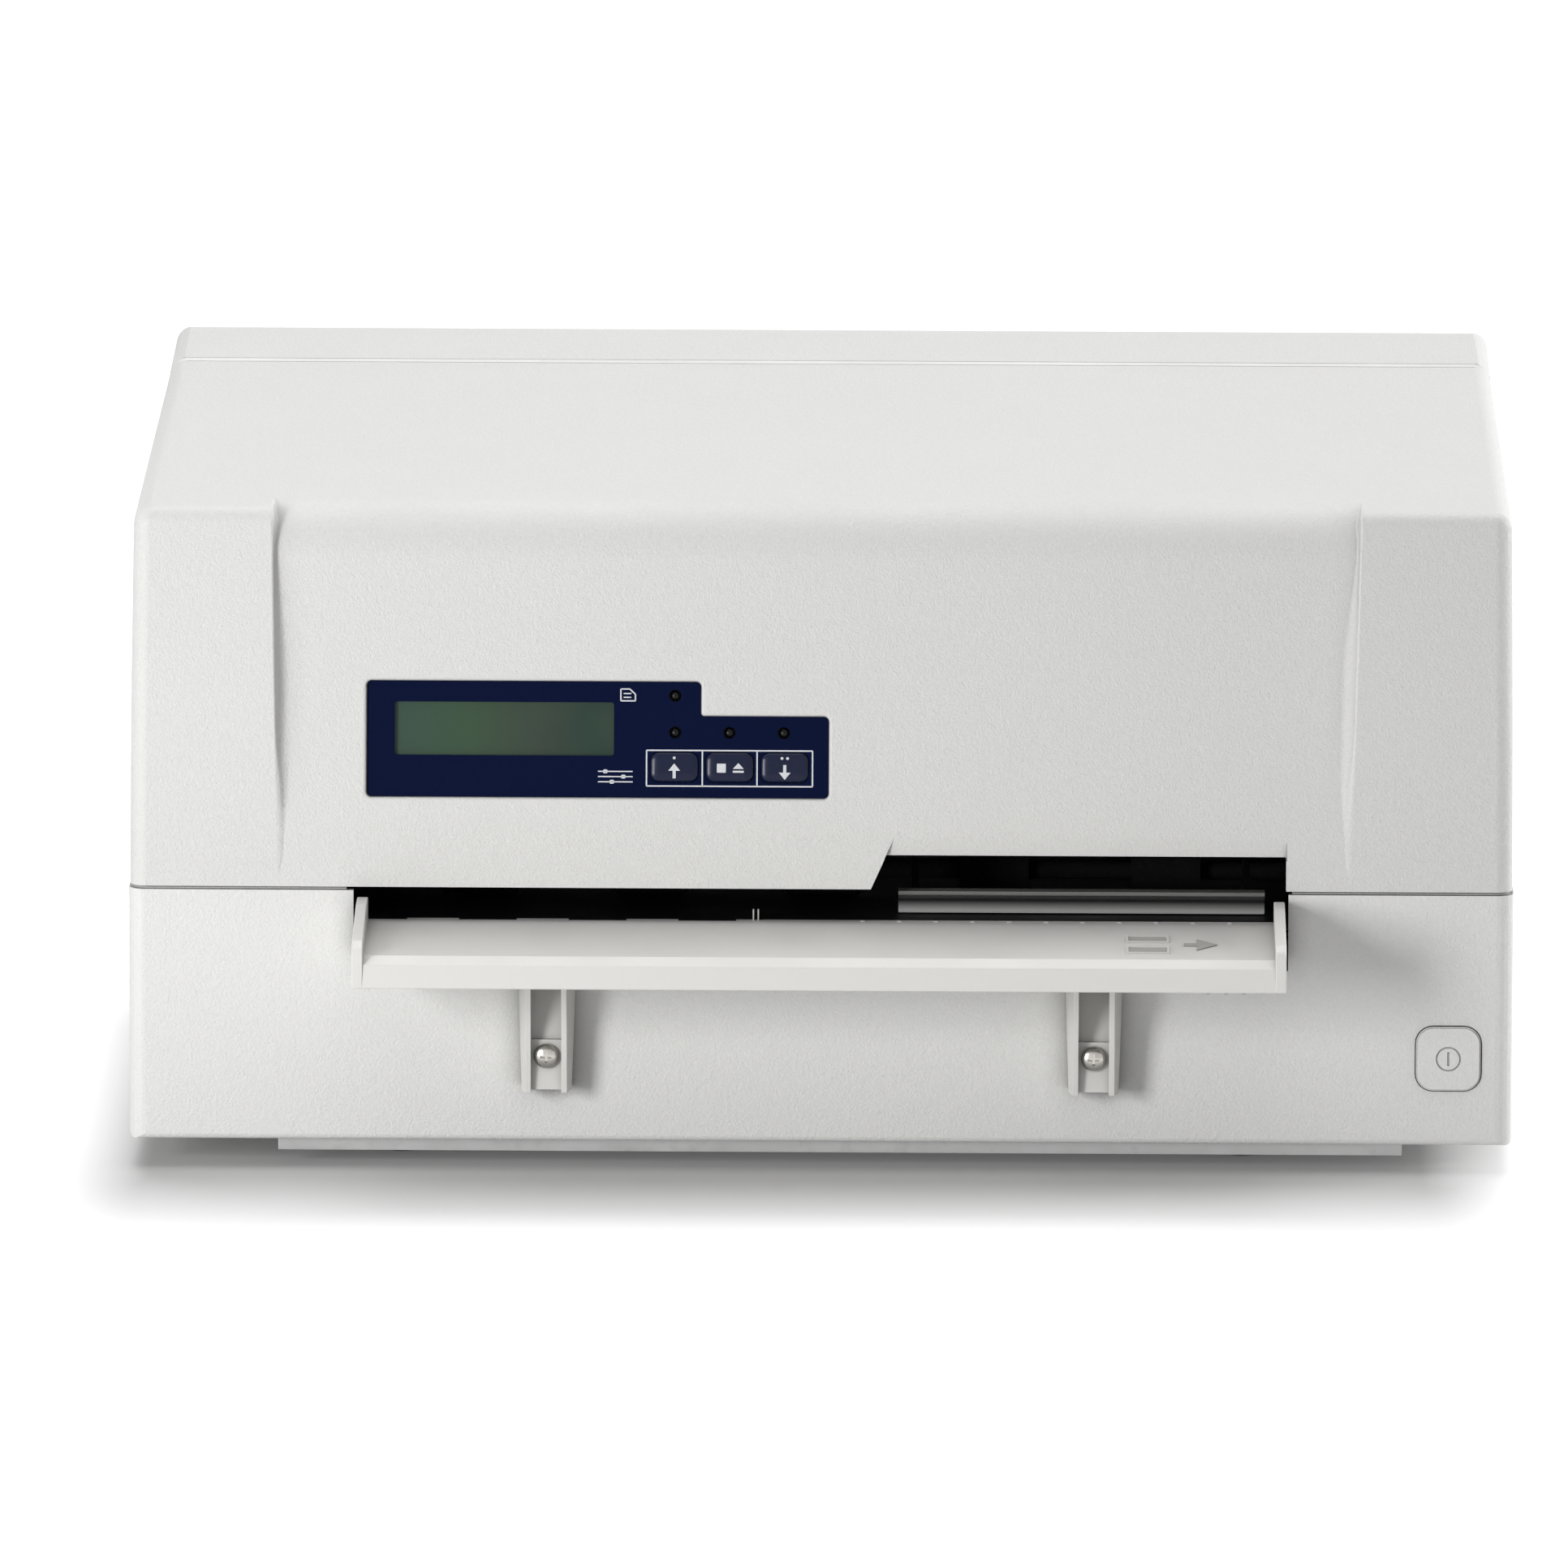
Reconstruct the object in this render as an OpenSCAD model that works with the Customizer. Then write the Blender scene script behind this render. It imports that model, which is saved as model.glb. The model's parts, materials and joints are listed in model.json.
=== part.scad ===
// Flatbed dot matrix document printer.
// Millimetres, +Z up, +X to the operator's right, -Y towards the operator.
// The origin is on the desk, at the centre of the footprint.

/* [Casing] */
// Width of the casing
body_w = 400; // [398:1:404]
// Depth of the casing without the paper tray
body_d = 280; // [278:1:284]
// Height of the joint between the lower casing and the cover
seam_z = 82.3; // [82.1:0.1:82.6]
// Height of the front edge of the top surface
top_front_z = 191.3; // [189:0.5:195]
// Slope of the top surface, in degrees
top_slope = 4.04; // [3.5:0.1:4.5]
// Thickness of the plastic walls
wall = 2.5; // [2.3:0.1:2.6]
// Height of the rubber feet
foot_h = 4.5; // [4:0.5:5]

/* [Front] */
// How far the paper tray stands out in front
tray_reach = 50; // [46:1:54]
// Width of the paper tray over its ears
tray_w = 267.6; // [266:0.2:268]
// Backward lean of the middle of the front, in degrees
panel_lean = 8; // [7.5:0.1:8.5]
// Half the distance between the two tray brackets
bracket_x = 79; // [75:1:84]
// Side of the square power button
button_w = 18.8; // [17:0.2:19.4]

/* [Mechanism] */
// Radius of the guide shaft that carries the print carriage
shaft_r = 6; // [5.5:0.1:6.2]
// Radius of the rubber feed rollers
feed_r = 10; // [9.6:0.1:10]
// Radius of the pressure rollers above them
press_r = 6; // [5.5:0.1:6]
// Travel of the print carriage
carriage_travel = 230; // [200:5:230]
// Module of the feed gears
gear_module = 1; // [1:1]
// Teeth on the roller gear
gear_teeth = 60; // [60:1:60]
// Teeth on the motor pinion
pinion_teeth = 16; // [16:1:16]

/* [Hidden] */
$fn = 48;
overlap = 0.01;

// ---- places that several pieces share ----
front_y = (tray_reach - body_d) / 2;
back_y = (tray_reach + body_d) / 2;
base_h = 4;
casing_z = foot_h + base_h;
seam_gap = 1;
lower_top = seam_z - seam_gap / 2;
cover_z = seam_z + seam_gap / 2;
corner_r = 5;
edge_r = 7;
side_draft = 2.3;

// front of the cover: pillars bend back, the middle leans back
pillar_bend_z = 115;
pillar_straight_z = 157;
pillar_lean = 12;
bend_r = (pillar_straight_z - pillar_bend_z) / sin(pillar_lean);
bend_y = front_y + bend_r * (1 - cos(pillar_lean));
pillar_top_y = bend_y + (top_front_z - pillar_straight_z) * tan(pillar_lean);
panel_y = front_y + 0.8;
panel_z = 103;
panel_top_y = panel_y + (top_front_z - panel_z) * tan(panel_lean);
panel_edge_r = 18;
scoop_z = 84.5;

// notch over the right half of the paper slot
notch_x = 14.4;
notch_slant = 0.45;
notch_z = 92.7;
notch_fade_z = 97.4;
notch_fade_y = front_y + (panel_y - front_y) * (notch_fade_z - scoop_z) / (panel_z - scoop_z);
notch_sink = 1.7;

// hinge of the cover, and the rear of the casing
hinge_y = 95.7;
barrel_r = 5;
hood_y = hinge_y + barrel_r + 0.4;
cover_back_y = hood_y - 0.6;
hinge_z = top_z(hinge_y) - barrel_r;
pin_r = 1.5;
rear_top_y = back_y - 17.5;

// paper path and mechanism
paper_z = 73.2;
// grey guide over the paper, a quarter round seen from inside
guide_y = front_y + 11.7;
guide_z = 73.6;
guide_r = 4.8;
guide_top = 80.4;
slot_x = 135;
bed_x = 165;
frame_x = 165;
frame_t = 2;
pan_z = 11;
feed_front_y = -60;
feed_rear_y = 45;
feed_z = paper_z - 0.2 - feed_r;
press_z = paper_z + 0.1 + press_r;
roller_xs = [-100, -50, 0, 50, 100];
roller_l = 20;
roller_shaft_r = 4;
press_shaft_r = 2.5;
print_y = -20;
shaft_y = 18;
shaft_z = 94;
rail_y = -80;
rail_z = 103;
belt_y = 52;
belt_z = 105;
belt_t = 1.2;
pulley_r = 8;
pulley_x = 140;
park_x = -115;
motor_w = 42;
gear_x = -170.5;
feed_pulley_r = 12;
feed_pulley_x = -179;
pinion_angle = -40;
gear_reach = gear_module * (gear_teeth + pinion_teeth) / 2;
pinion_y = feed_front_y + gear_reach * cos(pinion_angle);
pinion_z = feed_z + gear_reach * sin(pinion_angle);

// button and ports
button_x = 181.5;
button_z = 34.1;
tray_screw_z = 35.2;
tray_screw_r = 3.6;
bracket_web = 9;
bracket_step_z = 39.9;
bracket_low_z = 24.6;
casing_screw_x = 170;
casing_screw_z = 74;
casing_screw_y = back_y - 2.7;
base_screw_xs = [-140, 140];
base_screw_ys = [-85, 125];
frame_screw_ys = [-78, 95];
frame_screw_z = 30;
screw_shank_r = 1.6;
screw_head_r = 3.2;

// colours
case_grey = [0.88, 0.88, 0.86];
steel = [0.66, 0.67, 0.69];
dark = [0.09, 0.09, 0.1];
rubber_black = [0.12, 0.12, 0.12];
navy = [0.07, 0.1, 0.22];
board_green = [0.1, 0.32, 0.2];

function top_z(y) = top_front_z + (y - pillar_top_y) * tan(top_slope);

// ---- outlines ----
// points of an arc about c, from angle a to angle b
function arc(c, r, a, b, n = 8) =
    [for (i = [0:n]) c + r * [cos(a + (b - a) * i / n), sin(a + (b - a) * i / n)]];

// one corner of a path, rounded to radius r
function corner(p, q, s, r, n) =
    let (
        u = (p - q) / norm(p - q),
        v = (s - q) / norm(s - q),
        half = acos(u * v) / 2,
        mid = (u + v) / norm(u + v),
        c = q + mid * r / sin(half),
        from = q + u * r / tan(half) - c,
        to = q + v * r / tan(half) - c,
        a = atan2(from.y, from.x),
        turn = atan2(from.x * to.y - from.y * to.x, from * to)
    )
    r <= 0 ? [q] : arc(c, r, a, a + turn, n);

// a closed path given as [x, y, radius] points
function rounded(path, n = 6) =
    let (k = len(path))
    [for (i = [0:k - 1])
        each corner(
            [path[(i + k - 1) % k].x, path[(i + k - 1) % k].y],
            [path[i].x, path[i].y],
            [path[(i + 1) % k].x, path[(i + 1) % k].y],
            path[i][2], n)];

module rounded_rect(w, d, r) {
    polygon(rounded([[-w / 2, -d / 2, r], [w / 2, -d / 2, r], [w / 2, d / 2, r], [-w / 2, d / 2, r]]));
}

// an outline in Y and Z, extruded along X from x0 to x1
module along_x(x0, x1) {
    translate([x0, 0, 0])
        rotate([90, 0, 90])
            linear_extrude(x1 - x0)
                children();
}

// an outline in X and Z, extruded along Y from y0 to y1
module along_y(y0, y1) {
    translate([0, y1, 0])
        rotate([90, 0, 0])
            linear_extrude(y1 - y0)
                children();
}

module rod_x(x0, x1, y, z, r) {
    translate([x0, y, z])
        rotate([0, 90, 0])
            cylinder(h = x1 - x0, r = r);
}

module rod_y(y0, y1, x, z, r) {
    translate([x, y1, z])
        rotate([90, 0, 0])
            cylinder(h = y1 - y0, r = r);
}

module block(x, y, z) {
    translate([x[0], y[0], z[0]])
        cube([x[1] - x[0], y[1] - y[0], z[1] - z[0]]);
}

module both_sides() {
    children();
    mirror([1, 0, 0])
        children();
}

// pan head screw along -Y, its seat at y
module screw_y(x, y, z, head_r, shank_r, shank_l) {
    difference() {
        union() {
            rod_y(y - 1.2, y, x, z, head_r);
            intersection() {
                translate([x, y + 0.9, z])
                    sphere(r = head_r * 1.2);
                rod_y(y - 2.6, y - 1.2, x, z, head_r);
            }
            rod_y(y, y + shank_l, x, z, shank_r);
        }
        for (a = [0, 90])
            translate([x, y - 2.4, z])
                rotate([0, a, 0])
                    cube([head_r * 1.1, 2.4, 0.9], center = true);
    }
}

// puts a shape on the leaning middle of the front: local Z points out, local Y points up
module on_panel(u = 0, v = 0, w = 0) {
    translate([0, panel_y, panel_z])
        rotate([90 - panel_lean, 0, 0])
            translate([u, v, w])
                children();
}

// ---- lower casing ----
module casing_plan(inset) {
    translate([0, (front_y + back_y) / 2])
        rounded_rect(body_w - 2 * inset, body_d - 2 * inset, max(corner_r - inset, 1));
}

module casing_block(inset, z0, z1, low_r) {
    intersection() {
        translate([0, 0, z0])
            linear_extrude(z1 - z0)
                casing_plan(inset);
        along_x(-body_w, body_w)
            polygon(rounded([
                [front_y + inset, z0, low_r], [back_y - inset, z0, low_r],
                [back_y - inset, z1, 0], [front_y + inset, z1, 0]], 4));
        along_y(front_y - 1, back_y + 1)
            polygon(rounded([
                [-body_w / 2 + inset, z0, low_r], [body_w / 2 - inset, z0, low_r],
                [body_w / 2 - inset, z1, 0], [-body_w / 2 + inset, z1, 0]], 4));
    }
}

module vent_slots(count, pitch) {
    for (i = [0:count - 1])
        translate([0, (i - (count - 1) / 2) * pitch, 0])
            children();
}

ports = [
    // x, z, width, height of each cut in the rear wall
    [-80, 32, 62, 18],
    [-12, 31, 42, 14],
    [132, 34, 29, 22]
];

module lower_casing() {
    color(case_grey)
    difference() {
        union() {
            difference() {
                casing_block(0, casing_z, lower_top, 1.6);
                casing_block(wall, casing_z + wall, lower_top + 1, 0.5);
            }
            // bosses round the screws that hold the rear hood
            for (x = [-casing_screw_x, casing_screw_x])
                rod_y(casing_screw_y - 2.6, back_y - 1, x, casing_screw_z, 6);
            // low tongue that closes the joint
            difference() {
                casing_block(1, lower_top - 3, cover_z - 0.2, 0);
                casing_block(2.2, lower_top - 4, cover_z + 1, 0);
                block([-slot_x - 2, slot_x + 1], [front_y - 5, front_y + 5], [lower_top - 5, cover_z + 5]);
                block([-slot_x, slot_x], [back_y - 5, back_y + 5], [lower_top - 5, cover_z + 5]);
            }
        }
        // mouth for the paper tray, and the rear paper exit
        block([-slot_x, slot_x], [front_y - 5, front_y + wall + 1], [59.5, cover_z + 1]);
        block([-slot_x, slot_x], [back_y - wall - 1, back_y + 5], [69, cover_z + 1]);
        // power button
        along_y(front_y - 1, front_y + wall + 1)
            translate([button_x, button_z])
                rounded_rect(button_w + 0.6, button_w + 0.6, 5.3);
        // tray bracket screws
        for (x = [-bracket_x, bracket_x])
            rod_y(front_y - 1, front_y + wall + 1, x, tray_screw_z, 1.75);
        // ports
        for (p = ports)
            block([p[0] - p[2] / 2, p[0] + p[2] / 2], [back_y - wall - 1, back_y + 1],
                [p[1] - p[3] / 2, p[1] + p[3] / 2]);
        // screws that hold the rear hood
        for (x = [-casing_screw_x, casing_screw_x]) {
            rod_y(casing_screw_y - 4, back_y + 1, x, casing_screw_z, 1.75);
            rod_y(casing_screw_y, back_y + 1, x, casing_screw_z, 3.8);
        }
        // air slots in both sides
        for (s = [-1, 1])
            translate([s * body_w / 2, 110, 46])
                vent_slots(9, 7)
                    cube([3 * wall, 3, 34], center = true);
    }
}

module base_plate() {
    color([0.7, 0.7, 0.68])
    difference() {
        block([-157, 168.4], [front_y + 5, back_y - 15], [foot_h, casing_z]);
        for (x = base_screw_xs, y = base_screw_ys)
            translate([x, y, foot_h - 1])
                cylinder(h = 3, r = 4.2);
        for (x = base_screw_xs, y = base_screw_ys)
            translate([x, y, foot_h])
                cylinder(h = base_h + 1, r = 1.8);
    }
}

module feet() {
    color(rubber_black)
    for (x = [-122, 122], y = [front_y + 35, back_y - 45])
        translate([x, y, 0])
            rotate_extrude()
                polygon([[0, 0], [7.2, 0], [8, 0.8], [9, foot_h], [0, foot_h]]);
}

module base_screws() {
    color(steel)
    for (x = base_screw_xs, y = base_screw_ys)
        translate([x, y, 0]) {
            difference() {
                translate([0, 0, foot_h])
                    cylinder(h = 2, r = 3.6);
                for (a = [0, 90])
                    rotate([0, 0, a])
                        translate([0, 0, foot_h])
                            cube([4, 0.9, 2], center = true);
            }
            translate([0, 0, foot_h + 2])
                cylinder(h = 2, r = 1.6);
        }
}

// ---- paper tray and its brackets ----
tray_front_y = front_y - tray_reach;
tray_rear_z = paper_z + 0.3;
tray_front_z = 70.6;
tray_low_z = 61.8;
ear_t = 3;
tray_rear_y = front_y + 2.4;

module tray_floor() {
    polygon(rounded([
        [tray_rear_y, tray_rear_z, 0.4],
        [tray_front_y + 4.8, tray_front_z + 0.1, 0.7],
        [tray_front_y + 0.7, tray_front_z - 2, 0.9],
        [tray_front_y, tray_low_z, 0.4],
        [tray_front_y + 2.4, tray_low_z, 0.4],
        [tray_front_y + 3.4, tray_front_z - 4.4, 1.6],
        [tray_rear_y, tray_rear_z - 3, 0.4]], 4));
}

module tray_ear() {
    polygon(rounded([
        [tray_front_y + 4, 75.2, 2],
        [tray_front_y + 0.3, 73.4, 2],
        [tray_front_y, tray_low_z, 0.4],
        [tray_front_y + 6, tray_low_z, 0.4],
        [tray_rear_y - 3, 62.5, 1],
        [tray_rear_y - 3, 80.2, 2],
        [front_y - 14, 80.2, 14]], 4));
}

// raised lines on the tray: a sheet and an arrow that say where the paper edge goes
module tray_symbol() {
    slope = atan((tray_rear_z - tray_front_z) / (tray_rear_y - tray_front_y - 5));
    translate([0, tray_front_y + 5, tray_front_z - 0.3])
        rotate([slope, 0, 0])
            linear_extrude(0.7) {
                for (y = [7, 20])
                    translate([88, y])
                        difference() {
                            square([12.4, 8]);
                            translate([0.7, 0.9])
                                square([11, 6.2]);
                        }
                translate([103.4, 16.4])
                    square([5.4, 2.2]);
                translate([108, 17.5])
                    polygon([[0, -5], [6, 0], [0, 5], [0.8, 0]]);
            }
}

module paper_tray() {
    color(case_grey)
    difference() {
        union() {
            along_x(-tray_w / 2 + 0.5, tray_w / 2 - 0.5)
                tray_floor();
            both_sides()
                along_x(tray_w / 2 - ear_t, tray_w / 2)
                    tray_ear();
            tray_symbol();
            // ribs along the rear edge that hold the sheet off the tray
            for (i = [0:11])
                block([11.4 + i * 10.6, 12.7 + i * 10.6],
                    [tray_rear_y - 6, tray_rear_y], [tray_rear_z - 2, tray_rear_z + 0.6]);
            for (i = [0:3])
                block([-119.6 + i * 31.7, i < 3 ? -104.6 + i * 31.7 : tray_w / 2 - ear_t],
                    [tray_rear_y - 5, tray_rear_y + 2.2], [tray_rear_z - 0.4, tray_rear_z + 0.2]);
            block([-19.6, -18.2], [tray_rear_y - 3, tray_rear_y], [tray_rear_z - 2, tray_rear_z + 3]);
            // ribs below the floor
            for (x = [-100, -40, 0, 40, 100])
                block([x - 0.8, x + 0.8], [tray_front_y + 3, tray_rear_y - 4], [64.5, 68.2]);
            for (x = [111.5, 116.6, 121.7])
                block([x - 0.6, x + 0.6], [tray_front_y + 4, tray_front_y + 8], [60.7, 68]);
        }
        // the brackets reach up between the ribs
        for (x = [-bracket_x, bracket_x])
            block([x - 9.2, x + 9.2], [tray_front_y + 5, tray_rear_y - 0.4], [50, 66]);
    }
}

// a rib that tapers forwards and flares where it meets the casing
module bracket_rib(top) {
    intersection() {
        along_x(4, 9)
            polygon([[front_y - 11, bracket_low_z], [front_y, bracket_low_z], [front_y, top],
                [front_y - 24, top], [front_y - 17, 57], [front_y - 13, 44]]);
        along_y(front_y - 25, front_y)
            polygon([[4.4, bracket_low_z], [7.2, bracket_low_z], [8.6, top], [4.4, top]]);
        translate([0, 0, bracket_low_z])
            linear_extrude(top)
                polygon([[4.4, front_y - 25], [6, front_y - 25], [6, front_y - 11], [8.6, front_y], [4.4, front_y]]);
    }
}

module tray_bracket(x) {
    top = 66;
    color(case_grey)
    difference() {
        union() {
            translate([x, 0, 0])
                both_sides()
                    bracket_rib(top);
            // web between the ribs, with a step above the screw
            along_x(x - 5, x + 5)
                polygon([[front_y - bracket_web, bracket_low_z + 0.6], [front_y - bracket_web, bracket_step_z],
                    [front_y - 7.4, bracket_step_z], [front_y - 2.6, top], [front_y - 0.8, top],
                    [front_y - 5.6, bracket_step_z], [front_y - 7.2, bracket_step_z - 2],
                    [front_y - 7.2, bracket_low_z + 0.6]]);
            rod_y(front_y - bracket_web + 0.5, front_y, x, tray_screw_z, 3.6);
            block([x - 5, x + 5], [front_y - 22, front_y], [top - 2, top]);
        }
        rod_y(front_y - 12, front_y + 1, x, tray_screw_z, 1.75);
    }
}

module tray_bracket_left() {
    tray_bracket(-bracket_x);
}

module tray_bracket_right() {
    tray_bracket(bracket_x);
}

module tray_screws() {
    color(steel)
    for (x = [-bracket_x, bracket_x])
        screw_y(x, front_y - bracket_web, tray_screw_z, tray_screw_r, screw_shank_r, 16);
}

// ---- cover ----
function pillar_front(inset) = concat(
    [[front_y + inset, cover_z - (inset > 0 ? 5 : 0)], [front_y + inset, pillar_bend_z]],
    [for (i = [1:6])
        let (a = pillar_lean * i / 6)
        [front_y + bend_r - (bend_r - inset) * cos(a), pillar_bend_z + (bend_r - inset) * sin(a)]]);

function xyr(points) = [for (p = points) [p.x, p.y, 0]];

// the side view of the cover, walls included
function cover_outline() = rounded(concat(
    [[cover_back_y, cover_z, 0]],
    xyr(pillar_front(0)),
    [[pillar_top_y, top_front_z, 4]],
    xyr(arc([hinge_y, hinge_z], barrel_r, 90 + top_slope, 16, 8))));

// the space below the top skin, behind the middle of the front
function cover_hollow(front, top_edge_r) = concat(
    rounded(concat(front, [[panel_top_y + wall / cos(panel_lean) - wall * tan(panel_lean),
        top_z(panel_top_y) - wall, top_edge_r]],
        [[hinge_y - 6, top_z(hinge_y - 6) - wall, 0]])),
    arc([hinge_y, hinge_z], 3, 90, 20, 5),
    [[hinge_y + 20, hinge_z + 1], [hinge_y + 20, cover_z - 5]]);

module cover_sides(inset, y0, y1) {
    low = body_w / 2 - 0.3 - inset;
    high = low - side_draft;
    roof = 240;
    along_y(y0, y1)
        polygon([[-low, cover_z - 6], [low, cover_z - 6], [high - 0.8, roof], [-high + 0.8, roof]]);
}

// rounds the long edges of the sloping top
module top_shape(inset, y0, y1) {
    half = body_w / 2 - 0.3 - side_draft - inset;
    r = edge_r - inset;
    z = top_front_z - inset;
    translate([0, pillar_top_y, 0])
        rotate([top_slope, 0, 0])
            translate([0, -pillar_top_y, 0])
                along_y(y0 - 40, y1 + 40)
                    polygon(rounded([
                        [-half - 6, z - 180, 0], [half + 6, z - 180, 0], [half + 2, z - 40, 0],
                        [half, z, r], [-half, z, r], [-half - 2, z - 40, 0]], 6));
}

module scoop() {
    low_l = -156.7;
    high_l = -159.3;
    low_r = 153.2;
    high_r = 156.2;
    z0 = scoop_z;
    z1 = 215;
    out = front_y - 4;
    deep = front_y + 45;
    slant = 3.2;
    // widens towards the front, and upwards
    intersection() {
        polyhedron(
            points = [
                [low_l - 0.6, out, z0], [low_r + 0.6, out, z0],
                [low_r, deep, z0], [low_l, deep, z0],
                [high_l - 0.8, out, z1], [high_r + 0.8, out, z1],
                [high_r - slant - 3, deep, z1], [high_l + slant + 3, deep, z1]],
            faces = [
                [0, 1, 2], [0, 2, 3], [4, 6, 5], [4, 7, 6], [0, 5, 1], [0, 4, 5],
                [1, 6, 2], [1, 5, 6], [2, 7, 3], [2, 6, 7], [3, 4, 0], [3, 7, 4]]);
        along_x(-170, 170)
            polygon(concat(
                [[out - 1, z0 - 1], [front_y - 0.05, z0 - 0.5]],
                rounded_open([
                    [panel_y, panel_z, 0],
                    [panel_top_y, top_z(panel_top_y) + overlap, panel_edge_r],
                    [panel_top_y + 40, top_z(panel_top_y + 40) + overlap, 0]]),
                [[panel_top_y + 40, z1 + 5], [out - 1, z1 + 5]]));
    }
}

// rounds the inner corners of an open path and keeps its ends
function rounded_open(path) = concat(
    [[path[0].x, path[0].y]],
    corner([path[0].x, path[0].y], [path[1].x, path[1].y], [path[2].x, path[2].y], path[1][2], 8),
    [[path[2].x, path[2].y]]);

// stepped outline of the operator panel, grown by g
function panel_outline(g) = rounded([
    [-131.2 - g, 6.1 - g, 1.4], [2 + g, 6.1 - g, 1.4], [2 + g, 29.6 + g, 1.4],
    [-34.9 + g, 29.6 + g, 1], [-34.9 + g, 39.5 + g, 1.4], [-131.2 - g, 39.5 + g, 1.4]], 4);

board_posts = [[-127, 8.5], [-127, 41], [-51.5, 38.5], [-1.5, 8]];
lcd_at = [-91.6, 25.8];
lcd_size = [63.3, 15.4];
led_at = [[-42.3, 35.5], [-42.3, 24.9], [-26.6, 24.9], [-10.9, 24.9]];
key_at = [[-42.5, 14.9], [-26.5, 14.9], [-10.6, 14.9]];
key_size = [13.8, 8.6];
overlay_low = -1.7;
overlay_high = -1.2;

module cover_bosses() {
    // posts that carry the panel board
    for (p = board_posts)
        on_panel(p.x, p.y, -10.4)
            cylinder(h = 8.6, r = 2.6);
    // bearings for the hinge pins
    both_sides()
        rod_x(190.3, 195.5, hinge_y, hinge_z, 3);
    // lip behind the notch above the paper slot
    block([13, 136], [front_y + 1.6, front_y + 4.6], [91.8, 101]);
}

// outline of the notch over the paper slot, up to height z
module notch_outline(z) {
    polygon([
        [notch_x, 70], [notch_x, cover_z], [notch_x + notch_slant * (z - cover_z), z],
        [slot_x - 1, z], [slot_x - 1, 70]]);
}

// the opening itself, and the face above it that sinks in towards it
module notch() {
    along_y(front_y - 5, front_y + 12)
        notch_outline(notch_z);
    intersection() {
        along_y(front_y - 5, front_y + 5)
            notch_outline(notch_fade_z);
        along_x(0, slot_x)
            polygon([
                [front_y - 6, notch_fade_z], [notch_fade_y, notch_fade_z],
                [front_y + notch_sink, notch_z], [front_y - 6, notch_z]]);
    }
}

module cover() {
    color(case_grey)
    difference() {
        union() {
            difference() {
                intersection() {
                    along_x(-body_w, body_w)
                        polygon(cover_outline());
                    cover_sides(0, front_y - 1, back_y);
                    top_shape(0, front_y, back_y);
                    translate([0, 0, 50])
                        linear_extrude(200)
                            polygon(rounded([
                                [-body_w / 2 + 0.3, front_y, corner_r], [body_w / 2 - 0.3, front_y, corner_r],
                                [body_w / 2 - 0.3, back_y, 0], [-body_w / 2 + 0.3, back_y, 0]]));
                }
                scoop();
                intersection() {
                    union() {
                        along_x(-body_w, body_w)
                            polygon(cover_hollow([
                                [panel_y + wall, cover_z - 5, 0],
                                [panel_y + wall, panel_z + wall * tan(panel_lean / 2), 0]], panel_edge_r - wall));
                        both_sides()
                            along_x(162, body_w / 2)
                                polygon(concat(pillar_front(wall),
                                    [[pillar_top_y + 4, top_z(pillar_top_y) - wall - 1.5],
                                    [hinge_y - 40, top_z(hinge_y - 40) - wall], [hinge_y - 40, cover_z - 5]]));
                    }
                    cover_sides(wall, front_y, back_y + 5);
                    top_shape(wall, front_y, back_y);
                }
            }
            intersection() {
                cover_bosses();
                cover_sides(0.5, front_y, back_y);
            }
        }
        notch();
        // recess for the operator panel, with a sloping rim
        on_panel(0, 0, overlay_low)
            linear_extrude(12)
                polygon(panel_outline(0.15));
        on_panel(0, 0, -0.7)
            linear_extrude(4)
                polygon(panel_outline(1));
        // windows through the recess
        on_panel(lcd_at.x, lcd_at.y, -4)
            linear_extrude(6)
                square([lcd_size.x + 2, lcd_size.y + 2], center = true);
        for (p = led_at)
            on_panel(p.x, p.y, -5)
                cylinder(h = 6, r = 1.9);
        for (p = key_at)
            on_panel(p.x, p.y, -5)
                linear_extrude(6)
                    square([key_size.x + 0.8, key_size.y + 0.8], center = true);
        // hinge pin bores
        both_sides()
            rod_x(189, 194.6, hinge_y, hinge_z, pin_r + 0.05);
    }
}

// ---- rear hood ----
module hood_block(inset) {
    z0 = cover_z - (inset > 0 ? 5 : 0);
    y0 = hood_y - (inset > 0 ? 5 : 0);
    y1 = back_y - inset;
    zt = top_z(rear_top_y) - inset;
    intersection() {
        along_x(-body_w, body_w)
            polygon(rounded([
                [y0, z0, 0], [y1, z0, 0], [y1 - 1, z0 + 40, 0],
                [rear_top_y - inset, zt, 4], [y0, top_z(y0) - inset, 0]], 5));
        cover_sides(inset, y0, back_y + 1);
        top_shape(inset, y0, back_y);
        translate([0, 0, 50])
            linear_extrude(200)
                polygon(rounded([
                    [-body_w / 2 + 0.3 + inset, y0, 0], [body_w / 2 - 0.3 - inset, y0, 0],
                    [body_w / 2 - 0.3 - inset, y1, corner_r - inset],
                    [-body_w / 2 + 0.3 + inset, y1, corner_r - inset]]));
    }
}

module hinge_arm() {
    translate([0, hinge_y, hinge_z])
        along_x(186, 190)
            difference() {
                polygon(concat(
                    arc([0, 0], 2.9, -90, 180, 14),
                    [[-2.9, -8], [0, -12], [hood_y - hinge_y + 12, -12], [hood_y - hinge_y + 12, -8], [0, -7]]));
                circle(r = pin_r);
            }
}

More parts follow.
